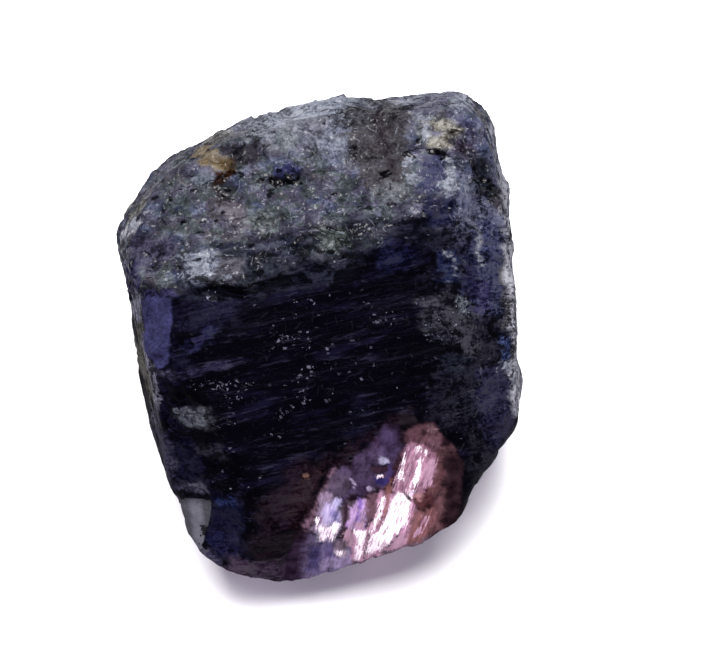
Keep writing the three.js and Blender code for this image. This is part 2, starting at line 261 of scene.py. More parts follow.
# stains and glazes on the same map, with painted light and shade among them (the crust's lighter far edge and
# upper part, its darker low band, the right strip, the lens and silver shadows, the orange spark):
# outline, the colour seen, strength, width of the border
washesAndPaintedLight = {
    "right bevel": ([(6.6, 6.8), (9.5, 9), (12, 8), (12, -6), (9.5, -8.5), (8.4, -5.6), (6.6, -4.6),
        (6.2, -1), (6.6, 3)], "22212f", 0.85, 0.8),
    "right bevel, middle": ([(8.2, 5.2), (9.4, 7.2), (10.6, 7.2), (10.8, 1.2), (9.2, 1.2), (8.3, 2.4)],
        "3a3f60", 0.85, 0.5),
    "right bevel, high": ([(7, 12.5), (10.5, 12.5), (12, 6), (7.2, 6)], "666b8a", 0.6, 1.0),
    # painted shade: the crust's low band is darker
    "crust, low band": ([(-8, 4.5), (-2, 5.8), (2, 6.8), (5, 7.2), (7, 6), (0, 3), (-8, 2)],
        "272a3b", 0.75, 1.2),
    # painted light: the crust's far edge is lighter
    "crust, far edge": ([(-6, 13), (0, 14.5), (8, 14.5), (8, 13), (2, 12.8), (-4, 11.5)],
        "a2a7b8", 0.8, 1.0),
    "rim, pale": ([(-1.9, 13.8), (0.7, 14.1), (2.7, 14), (2.2, 12.6), (0.3, 12.4), (-1.5, 12.7)],
        "9aa2b6", 0.7, 0.5),
    "rim, blue": ([(0.3, 12.4), (2.2, 12.6), (2, 10.8), (0.8, 9.6), (0, 10.7)], "6f7490", 0.7, 0.7),
    "rim, cream": ([(-7, 11.7), (-6.4, 12.2), (-5.4, 12.1), (-4.6, 12.4), (-4.9, 11.4), (-6, 11)],
        "86837f", 0.8, 0.4),
    # painted light: the upper crust is lighter
    "upper crust": ([(-5.5, 11.6), (-3, 13.6), (1.8, 14.4), (1.8, 9.8), (-2.5, 10.4)], "959aa6", 0.4, 1.4),
    "purple left": ([(-11.3, 5.9), (-8.7, 6), (-7.9, 4.6), (-9.5, 3.9), (-11.1, 4.5)], "4b4560", 0.8, 0.6),
    "violet left": ([(-11.1, 4.6), (-10, 4.2), (-9.9, 2.6), (-10.9, 2.6)], "39355c", 0.9, 0.25),
    "green grey": ([(-3.9, 7.1), (-2.2, 7.2), (-2.2, 5.9), (-3.8, 5.9)], "7c8584", 0.7, 0.5),
    "green grey, low": ([(0.1, 6.3), (1.7, 6), (1.9, 5), (0.4, 4.9)], "68716c", 0.7, 0.4),
    "brown grey": ([(-5.5, 8.3), (-3.8, 7.4), (-3.8, 5.6), (-5.1, 5.5)], "67606a", 0.7, 0.5),
    "pale blue": ([(-7, 9.3), (-6.1, 9.4), (-6.1, 8.4), (-6.5, 8.2), (-7, 8.7)], "666f7c", 0.8, 0.3),
    "groove, brown": ([(1.8, 13.2), (3.6, 13.9), (5.4, 13.4), (5.2, 11.4), (4.9, 8.8), (4.2, 7.6),
        (2.6, 8.4), (1.6, 10.8)], "4b474c", 0.85, 0.5),
    "groove, purple": ([(2.9, 13.3), (3.5, 13.4), (4, 11.4), (4.5, 9.4), (4.7, 7.8), (4.3, 7.9), (3.9, 9.8),
        (3.3, 11.6)], "352b36", 0.85, 0.3),
    "black hole": ([(3.5, 9.4), (4.1, 9.4), (4.1, 8.8), (3.6, 8.8)], "100d12", 0.95, 0.2),
    "grey below the groove": ([(3.5, 8.4), (4.9, 8.5), (5.1, 7.8), (4.6, 7.3), (3.1, 7.6)],
        "71757c", 0.8, 0.3),
    "dark hollow": ([(-5.6, 10.9), (-3.4, 11.1), (-3.2, 10.2), (-3.7, 9.7), (-4.8, 9.9)],
        "2c2730", 0.9, 0.3),
    "tan stain": ([(-7.7, 11.2), (-6.7, 11.1), (-5.7, 10.6), (-4.9, 10.1), (-4.8, 9.5), (-5.3, 9.5),
        (-6.5, 9.8), (-7.2, 10.3)], "86724a", 0.8, 0.35),
    "stain, brown": ([(-5.6, 10.3), (-4.8, 10.2), (-4.6, 9.4), (-5.4, 9.5)], "4e3a22", 0.75, 0.3),
    "under the stain": ([(-5.7, 8.9), (-4.8, 9), (-4.9, 7.9), (-5.5, 7.6)], "221b1c", 0.6, 0.4),
    "rust": ([(-6, 9.6), (-4.4, 9.6), (-4.7, 9.2), (-5.3, 9.1), (-5.4, 8.9), (-5.8, 8.4), (-5.9, 8.8)],
        "3c2317", 1.0, 0.2),
    "lens": ([(-2.5, 9.65), (-0.7, 9.65), (-0.9, 9.1), (-2.5, 9.1)], "3a3c66", 0.95, 0.15),
    "lens shadow": ([(-3.1, 9), (-2.6, 9.1), (-0.8, 9.1), (-0.8, 8.7), (-2.3, 8.7)], "0c0b12", 0.95, 0.12),
    "pale lump": ([(-7.4, 4.5), (-6.2, 4.8), (-5.6, 4.5), (-5.6, 3.4), (-6.2, 3.1), (-7.3, 3.1)],
        "868ca0", 0.9, 0.4),
    "beside the lump": ([(-5.6, 4.4), (-3.9, 4.3), (-3.8, 3.1), (-5.6, 3.1)], "5e5b66", 0.8, 0.4),
    "cream facet": ([(-10.7, 8.1), (-10.1, 8.2), (-10, 7.2), (-10.7, 6.7), (-11.6, 6.7), (-11.5, 7.5)],
        "8c8a86", 0.9, 0.15),
    "white wedge": ([(-11.6, 6.2), (-10.1, 6.7), (-10, 6.5), (-10.5, 6), (-11.3, 5.9)],
        "dcdce2", 1.0, 0.12),
    "violet brow": ([(5.6, 13.4), (7.3, 14.3), (7.9, 13.9), (7.7, 13), (6.6, 12.6), (5.7, 12.5)],
        "5a5b72", 0.85, 0.5),
    "white brow": ([(7.5, 13.2), (8.3, 13.8), (8.9, 14), (8.6, 13), (7.8, 12.8)], "a3a9bd", 0.85, 0.3),
    "blue, high right": ([(9.1, 11.9), (9.9, 11.7), (9.9, 10.4), (9.2, 10.3), (9, 11)],
        "505a7c", 0.85, 0.3),
    "silver": ([(6.5, 12.3), (7.5, 12.4), (8, 11.6), (7.5, 10.6), (6.4, 10.5), (6.3, 11.2), (6.8, 11.6)],
        "a8a294", 0.85, 0.35),
    "silver shade": ([(6.1, 10.6), (7.4, 10.5), (7.5, 10.2), (6.3, 10.2)], "0e0e14", 0.95, 0.15),
    "white streak": ([(5.9, 12.5), (6.4, 12.5), (6.2, 10.9), (6, 11)], "a9abb3", 0.9, 0.2),
    "white loop": ([(5.2, 10), (5.7, 10.1), (5.7, 8.7), (5.3, 8.7)], "747b86", 0.7, 0.2),
    "inside the loop": ([(5.4, 10.1), (5.7, 10.1), (5.6, 9.1), (5.4, 9.1)], "424c5c", 0.9, 0.12),
    "blue lobe": ([(5.9, 10.2), (7.2, 10.3), (7.2, 8.6), (6.5, 7.9), (5.9, 8.1), (5.8, 9.3)],
        "3e4062", 0.85, 0.3),
    "purple, high right": ([(7.7, 11.2), (8.9, 11.3), (8.9, 10.2), (8, 10), (7.7, 10.4)],
        "483c50", 0.85, 0.3),
    "violet, high right": ([(8, 12.4), (8.8, 12.2), (8.8, 11.2), (8.1, 11.3)], "464264", 0.85, 0.3),
    "brown, right": ([(9.6, 8.4), (10.3, 8.2), (10.2, 7.2), (9.7, 7.2)], "322a30", 0.85, 0.3),
    "silver, low": ([(7.3, 10.1), (7.6, 10), (7.6, 8.8), (7.8, 8.5), (7.3, 8.2), (6.8, 8.3), (7.1, 8.8),
        (7.3, 9.2)], "a2a8b2", 0.9, 0.15),
    "dark green": ([(8.4, 9.9), (9.1, 10.2), (9.8, 9.3), (9.9, 8.2), (9.1, 7.9), (8.5, 8.5)],
        "1a1f20", 0.8, 0.7),
    "blue, right": ([(9, 6.5), (10.1, 6.7), (10.3, 5), (9.3, 4.6)], "3c4166", 0.85, 0.4),
    "navy": ([(6.9, 4.9), (8.1, 4.9), (8.1, 3.1), (6.9, 3.2)], "21284c", 0.9, 0.3),
    "indigo": ([(8.3, 4.8), (9.2, 4.9), (9.2, 2.2), (8.4, 2.1)], "1e1e40", 0.9, 0.3),
    "purple": ([(9, 3.2), (9.8, 3.2), (9.9, 1.2), (9.1, 1.4)], "38355c", 0.85, 0.3),
    "olive edge": ([(10.4, 4.2), (11.2, 4.2), (11.3, 2), (11.2, 0.5), (10.6, 0.5), (10.4, 2.2)],
        "504e54", 0.9, 0.3),
    "slate": ([(6.8, -1), (8.5, -1.1), (8.4, -2), (6.8, -2)], "1f2432", 0.85, 0.3),
    "violet, low right": ([(9.1, -1.8), (11.2, -1.4), (11.6, -4.4), (10.6, -6.2), (9.6, -6.4),
        (9.2, -4.6)], "2a2844", 0.9, 0.4),
    "grey, low right": ([(8.3, -5.2), (9.6, -5.4), (10, -6.6), (9.4, -8), (8.4, -7.4)],
        "21212b", 0.85, 0.4),
    "deep blue, high": ([(5.9, 7.9), (7.6, 8), (7.7, 6.4), (6.1, 6.2)], "242646", 0.95, 0.3),
    "deep blue, low": ([(3.3, 5.3), (4.8, 5.5), (5.7, 4.9), (5.2, 3.9), (3.2, 3.6)], "1a1c3c", 0.95, 0.4),
    "left bevel": ([(-10, 2.4), (-7.8, 2), (-7, -4), (-5.6, -9), (-8.2, -9), (-9.6, -5), (-10, -1)],
        "15132a", 0.85, 0.5),
    "panel head": ([(-9.8, 2.7), (-7.9, 2.7), (-7.6, 2.2), (-9.7, 2.1)], "3b3962", 0.9, 0.15),
    "violet, high": ([(-8, 2), (-4.6, 2.2), (-4.6, 0.9), (-7.9, 0.4)], "1b1930", 0.75, 0.5),
    "panel foot": ([(-9.2, -1.9), (-7.9, -1.8), (-7.9, -2.4), (-9, -2.3)], "48465e", 0.85, 0.15),
    "violet band": ([(-8, -2), (-4.8, -1.3), (-4.6, -1.7), (-8, -2.5)], "332f4c", 0.85, 0.15),
    "blue patch": ([(-7.5, -0.6), (-6.8, 0.1), (-6, 0.7), (-5.6, 0.4), (-6, -0.4), (-7.2, -0.9)],
        "27284c", 0.8, 0.3),
    "left edge, pale": ([(-10.9, 2.6), (-9.9, 2.5), (-9.8, 1.4), (-10, 0.8), (-10.9, 0.8)],
        "9091a8", 0.95, 0.12),
    "left edge, olive": ([(-11.2, 0.8), (-9.9, 0.6), (-9.5, -1.6), (-9.2, -3.9), (-10.4, -4), (-11.2, -2)],
        "64615a", 0.95, 0.15),
    "left edge, line": ([(-9.95, 0.2), (-9.65, 0.2), (-9.25, -1.6), (-8.95, -3.7), (-9.2, -3.7),
        (-9.6, -1.4)], "9291a6", 0.95, 0.08),
    "left edge, lilac": ([(-10.6, -3.9), (-9.2, -3.9), (-9, -5.4), (-9.9, -5.6)], "6c6a7c", 0.9, 0.15),
    "left edge, slate": ([(-10, -5.4), (-8.7, -5.2), (-8, -7), (-7.8, -8.4), (-9, -8.8), (-9.8, -7)],
        "3e3b52", 0.9, 0.3),
    "navy, low left": ([(-8.5, -5.8), (-7.3, -5.8), (-6.9, -8.2), (-7.9, -8.2)], "181830", 0.85, 0.5),
    "white, low": ([(-8.3, -4), (-6, -4), (-5.8, -5.1), (-7, -5.1), (-8.2, -4.6)], "4a4b54", 0.8, 0.5),
    "grey, lowest": ([(-6.7, -6), (-5.5, -6.1), (-5.4, -7), (-6.5, -6.8)], "2d2c38", 0.8, 0.5),
    "above the facet": ([(-7.9, -8.2), (-6.2, -8.2), (-6.2, -8.8), (-7.9, -8.9)], "4c4a5e", 0.85, 0.15),
    "low blue": ([(-6, -9.3), (-4.3, -8.8), (-3.9, -10.2), (-4.2, -12.8), (-6.2, -12.9), (-6.3, -12)],
        "14142f", 0.95, 0.3),
    "low blue, bright": ([(-5.6, -9.1), (-4.4, -9.1), (-4.5, -9.6), (-5.5, -9.6)], "2c3868", 0.8, 0.15),
    "low blue, foot": ([(-6, -11), (-4.5, -11.2), (-4.6, -12.6), (-6, -12.3)], "202044", 0.8, 0.25),
    "grey foot": ([(-7.4, -12), (-6.2, -12.2), (-5.4, -12.8), (-5.6, -14), (-7.8, -14)],
        "4c4762", 0.9, 0.2),
    "red margin": ([(0.9, -6.6), (-1.5, -7.2), (-3, -9.2), (-3.6, -11.5), (-3.5, -14.5), (-0.5, -14.5),
        (-0.2, -9.7)], "231622", 0.9, 0.8),
    "purple foot": ([(-5.2, -12.6), (-3.4, -12.9), (-1.4, -12.6), (-0.6, -12.4), (-0.6, -14.5),
        (-5.4, -14.5)], "4c3a52", 0.9, 0.4),
    "left of the window": ([(-1.5, -9.4), (-0.9, -7.7), (0.4, -7.2), (0.4, -8.2), (-0.8, -10.4),
        (-0.6, -12.6), (-1.3, -12.7)], "2b191f", 0.8, 0.5),
    # a painted glint
    "orange spark": ([(-0.9, -8), (-0.8, -7.85), (-0.45, -7.75), (-0.55, -7.95)], "a07a6a", 1.0, 0.1),
    "red brow": ([(0.4, -6.9), (2.4, -5.6), (4, -4.4), (5.4, -3.9), (5.6, -4.8), (3.4, -5.6), (1.8, -7.2)],
        "261822", 0.8, 0.3),
    # painted light on the grazing right wall: the right strip is pale
    "right strip": ([(10.8, 6.2), (12.5, 5), (12.8, 0.4), (12.8, -4.6), (11.2, -4.4), (11, -1), (10.9, 0.4),
        (10.7, 4.3)], "a8aab4", 0.9, 0.25),
    "rim, right": ([(9.6, 12.2), (10, 12.3), (10.9, 8.1), (11.3, 5.5), (10.9, 4.4), (10.4, 6.3),
        (10.1, 8.5)], "a6a8b2", 0.8, 0.35),
    "knob rim": ([(10.2, 0.2), (11.1, 0.3), (11.2, -0.1), (11.2, -1.2), (10.3, -1.2)], "0c0c18", 0.9, 0.12),
    "knob": ([(10.45, -0.15), (10.95, -0.1), (11.05, -1.2), (10.5, -1.2)], "4c5c94", 0.9, 0.15),
    "speckled right": ([(5.5, 2.2), (7, 2.4), (8.3, 2.4), (9, 1.2), (9, -0.9), (8.2, -0.8), (7.6, 0.1),
        (6.1, 0.1)], "3a3943", 0.85, 0.4),
    "thread, high": ([(8.7, 6.7), (9.1, 5.6), (9, 4.7), (9.45, 3.9), (9.55, 3.9), (9.15, 4.7), (9.25, 5.6),
        (8.8, 6.8)], "8c919c", 0.8, 0.08),
    "thread, inner": ([(7.15, 4.8), (7.55, 4.35), (7.75, 3.6), (7.85, 3.6), (7.7, 4.4), (7.25, 4.9)],
        "858a98", 0.8, 0.08),
    "speckle, pale": ([(8, 2.4), (8.4, 2.2), (8.7, 1.5), (8.2, 1.4)], "7a8490", 0.85, 0.2),
}

# patches whose edges stay crisp: the material draws them from the distance to the nearest outline
patches = {
    "pale": [
        [(-7.3, 4.3), (-6.2, 4.7), (-5.7, 4.4), (-5.7, 3.5), (-6.2, 3.2), (-6.5, 2.9), (-7.3, 2.9)],
        [(-5.5, 3.1), (-4.4, 3.2), (-4.3, 2.95), (-5.5, 2.85)],
        [(-6.3, 2.4), (-5.9, 2.5), (-5.7, 2), (-6.2, 1.9)],
        [(-11.5, 6.1), (-10.9, 6.4), (-9.9, 7), (-9.7, 6.7), (-10.5, 6), (-11.3, 5.7)],
        [(7.6, 13.3), (8.4, 13.9), (8.9, 14), (8.6, 13.1), (8, 12.9)],
        [(6, 12.5), (6.4, 12.4), (6.2, 11), (6, 11.1)],
        [(5.1, 10), (5.4, 10.1), (5.4, 9.1), (5.6, 9.1), (5.7, 8.7), (5.2, 8.7), (5, 9.2)],
        [(7.3, 10.1), (7.6, 10), (7.7, 8.9), (7.9, 8.6), (7.3, 8.1), (6.7, 8.2), (7, 8.8), (7.3, 9.2)],
        [(-8.1, -4.1), (-7.4, -4), (-7, -4.2), (-6.3, -4.2), (-6, -4.8), (-6.6, -4.9), (-7, -5.1),
         (-7.6, -4.7)],
        [(-10.5, 2.4), (-10, 2.4), (-9.95, 1.2), (-10.3, 1)],
        [(1, 13.9), (2.6, 13.9), (2.2, 13.2), (1.2, 13.3)],
        [(10.4, -1.55), (10.8, -1.6), (10.8, -2), (10.5, -2)],
        [(11, -2.2), (11.5, -2.2), (11.4, -2.8), (11.1, -2.7)],
    ],
    # black, mostly painted shadow: under the lens, the silver, the pale lump and the crust's lower edge, and
    # beside the left panel; the rest is dark holes and spots
    "blackAndShadow": [
        [(-3.1, 9), (-2.6, 9.05), (-0.8, 9.05), (-0.8, 8.7), (-2.3, 8.7)],
        [(6.3, 10.6), (7.4, 10.5), (7.5, 10.25), (6.4, 10.2)],
        [(3.5, 9.4), (4.1, 9.4), (4.1, 8.9), (3.6, 8.9)],
        [(-7.3, 3), (-6.2, 3.1), (-5, 2.9), (-3.8, 2.8), (-2, 3.6), (-0.6, 3.7), (-0.4, 3), (-4, 2.1),
         (-6.8, 2.3)],
        [(0.7, 3.9), (2, 4.3), (2.9, 3.8), (2.8, 2.9), (0.8, 2.6)],
        [(5, 3), (8, 3), (8, 2.5), (5, 2.3)],
        [(8.6, 10), (9, 10.1), (9.2, 8.9), (8.8, 8.4), (8.5, 8.8)],
        [(9.3, 9), (9.8, 9.1), (9.8, 8), (9.2, 7.9)],
        [(9.6, 1.3), (10.2, 1.6), (10.1, 0.2), (9.6, -0.2)],
        [(10.3, 1.7), (10.6, 1.6), (10.5, 1), (10.3, 1.1)],
        [(7.6, 0.6), (8.1, 0.6), (8.1, -0.1), (7.6, -0.1)],
        [(5, -0.2), (8, -0.3), (8.1, -0.9), (5, -1.1)],
        [(6, -1), (6.6, -1), (6.6, -2.6), (6.1, -2.6)],
        [(8.8, -6.7), (9.6, -6.6), (9.5, -7.1), (8.9, -7.1)],
        [(-7.9, 0.3), (-7.2, 0.3), (-7, -0.3), (-7.8, -0.35)],
        [(-8.8, -2.4), (-6, -2.6), (-5.6, -3.6), (-8.4, -3.9)],
        [(-8.8, -4.8), (-7.2, -5.1), (-5.4, -5.3), (-5.4, -5.9), (-8.2, -5.8)],
        [(-6.4, -7), (-5.7, -7), (-5.7, -8), (-6.4, -8)],
        [(-7.9, -8.85), (-6, -8.9), (-6, -9.25), (-7.9, -9.25)],
        [(-6.5, -10.8), (-6.25, -10.9), (-6.35, -12), (-6.6, -11.9)],
    ],
    # painted glow of light through the window, white, and painted glints
    "paintedGlowWhite": [
        [(4.6, -8.9), (5.1, -8.9), (5.45, -9.4), (5.35, -10.4), (5, -11), (4.5, -11.4), (4.2, -12),
         (3, -12.7), (2.75, -12.5), (3.1, -11.4), (3.7, -11.1), (4, -10.3), (4.3, -9.4)],
        [(3.8, -9.1), (4, -9.1), (3.85, -9.8), (3.6, -10.4), (3.2, -11.3), (3, -11.3), (3.4, -10.2)],
        [(2.1, -11), (2.9, -11.1), (2.7, -11.9), (2.4, -12.9), (2.1, -12.9), (2.3, -11.8)],
        [(0, -10.85), (0.45, -10.7), (0.75, -10.85), (1.1, -10.65), (1.45, -10.4), (1.25, -11),
         (1.05, -11.35), (0.9, -11.75), (0.6, -11.5), (0.3, -11.7), (0.1, -11.4), (0.25, -11.1)],
        [(5.75, -6.9), (6, -6.9), (5.95, -7.8), (5.8, -8.5), (5.25, -8.6), (5.6, -7.9)],
        [(5, -6.6), (5.15, -6.4), (4.95, -7.6), (4.75, -8.2), (4.6, -8.2)],
        [(5.65, -6.15), (5.9, -6.2), (5.9, -6.5), (5.6, -6.6)],
        [(6.2, -6.4), (6.4, -6.5), (6.3, -6.7), (6.15, -6.6)],
        [(4.85, -7.8), (5, -7.8), (5, -8.2), (4.8, -8.2)],
        [(5.1, -8.75), (5.7, -8.8), (5.5, -9.2), (5.3, -9.1)],
        [(1.1, -12.3), (1.5, -12.3), (1.5, -12.6), (1.1, -12.6)],
        [(3.4, -7.8), (3.8, -7.75), (3.8, -7.95), (3.45, -7.98)],
        [(-0.05, -10.2), (0.15, -10.2), (0.15, -10.5), (-0.05, -10.5)],
    ],
    # painted glow in pink, brighter than the lamps show it
    "panePink": [
        [(5.15, -6.1), (5.3, -6.3), (5, -7.3), (4.8, -8.1), (4.55, -8.8), (4.4, -8.8), (4.7, -7.5),
         (4.95, -6.8)],
        [(5.3, -6.9), (5.5, -6.9), (5.2, -8.2), (5, -8.5), (5.1, -7.7)],
        [(6.4, -7), (6.8, -7), (6.6, -8.3), (6.1, -8.6), (6.2, -7.6)],
        [(1.7, -11.1), (2, -10.9), (2.1, -11.7), (1.8, -11.9), (1.6, -11.5)],
        [(3.9, -11.7), (4.9, -11.2), (5.2, -11.7), (4.8, -12.2), (3.9, -12.5)],
        [(5.7, -11), (6.1, -10.9), (6, -11.4), (5.6, -11.5)],
        [(6.1, -10.3), (6.35, -10.3), (6.3, -10.9), (6.1, -10.9)],
        [(2.35, -10.6), (2.8, -10.5), (2.8, -11), (2.3, -11)],
    ],
    # dark cracks, and painted shade in the dimple's middle
    "paneDark": [
        [(1.7, -9.4), (1.85, -9.4), (1.8, -10.5), (1.45, -11.2), (1.1, -11.7), (1.05, -11.6),
         (1.55, -10.6)],
        [(3.1, -7.35), (4.1, -7.3), (4, -7.65), (3.2, -7.7)],
        [(4.85, -8.8), (5, -8.8), (5.5, -9.3), (5.5, -9.5), (5.3, -9.4)],
        [(3, -11.1), (3.12, -11.2), (2.72, -12.9), (2.58, -12.9)],
        [(3.9, -12.3), (4.9, -11.1), (4.95, -11.2), (4.1, -12.3)],
        [(4.4, -7.9), (4.9, -6.5), (4.98, -6.5), (4.5, -8)],
        [(6.3, -6.7), (6.5, -6.6), (6.5, -6.9), (6.35, -6.9)],
    ],
}

# where painted glints go, bright crumbs standing in for broken crystal catching the light, and where the dark
# face's grey flakes gather: outline, share of bright crumbs, width of the border
glitters = {
    "crust": ([(-14, 4.6), (-7.4, 3), (3, 5.4), (14, 5), (14, 18), (-14, 18)], 0.02, 0.6),
    "face": ([(-6.5, 2), (5.6, 3), (7, 1), (5, -3.5), (-1, -4.6), (-8, -4.6)], 0.015, 0.8),
    "left crumbs": ([(-8.6, 8.6), (-6.6, 8.2), (-4.4, 9.2), (-3.6, 7), (-8.2, 5.6)], 0.035, 0.6),
    "low band": ([(-3, 6.8), (3, 7.4), (3, 5.6), (-3.4, 4.6)], 0.05, 0.6),
    "rim": ([(-2, 13.8), (2.7, 14), (2.2, 12.3), (-3, 12)], 0.12, 0.4),
    "silver": ([(6.4, 12.3), (7.6, 12.3), (8, 11.6), (7.4, 10.5), (6.3, 10.5)], 0.6, 0.25),
    "brow": ([(7.5, 13.3), (8.9, 14), (8.8, 12.7), (7.7, 12.5)], 0.3, 0.3),
    "silver, low": ([(6.6, 8.2), (7.2, 10.1), (7.7, 10), (7.9, 8.5)], 0.3, 0.25),
    "pale lump": ([(-6.9, 4.2), (-4.6, 4.4), (-4.4, 3.2), (-6.8, 3)], 0.25, 0.3),
    "under the lump": ([(-6.6, 2.6), (-5.8, 2.6), (-5.8, 1.9), (-6.5, 1.9)], 0.5, 0.25),
    "white, low": ([(-8, -3.9), (-5.8, -4.1), (-5.5, -5.1), (-8, -4.8)], 0.5, 0.25),
    "speckled right": ([(5.5, 2), (8.4, 1.6), (8.9, -1), (6.1, 0)], 0.9, 0.5),
    "right, low": ([(10.2, -1.2), (11.4, -1.2), (11.3, -3.6), (10.5, -3.4)], 0.5, 0.25),
    "middle cluster": ([(2.8, 1.7), (4, 1.7), (4.3, 0.8), (3, 0.7)], 0.4, 0.5),
    "left cluster": ([(-2.6, 0.2), (-0.4, 0.4), (-0.2, -0.7), (-1.6, -0.7)], 0.55, 0.5),
    "low cluster": ([(-1.2, -1.6), (-0.1, -1.6), (-0.1, -2.2), (-1.2, -2.2)], 0.5, 0.4),
    "crumbs, low left": ([(-7.2, -2.6), (-3.4, -2.3), (-3.4, -2.9), (-7.2, -3.2)], 0.45, 0.4),
    "crumbs, lower": ([(-5.5, -4.4), (-4.7, -4.4), (-4.7, -5), (-5.5, -5)], 0.7, 0.25),
    "crumbs, low middle": ([(-2.8, -4.1), (-2, -4.1), (-0.6, -2.9), (-0.6, -3.9), (-2.1, -4.7)], 0.35, 0.4),
}
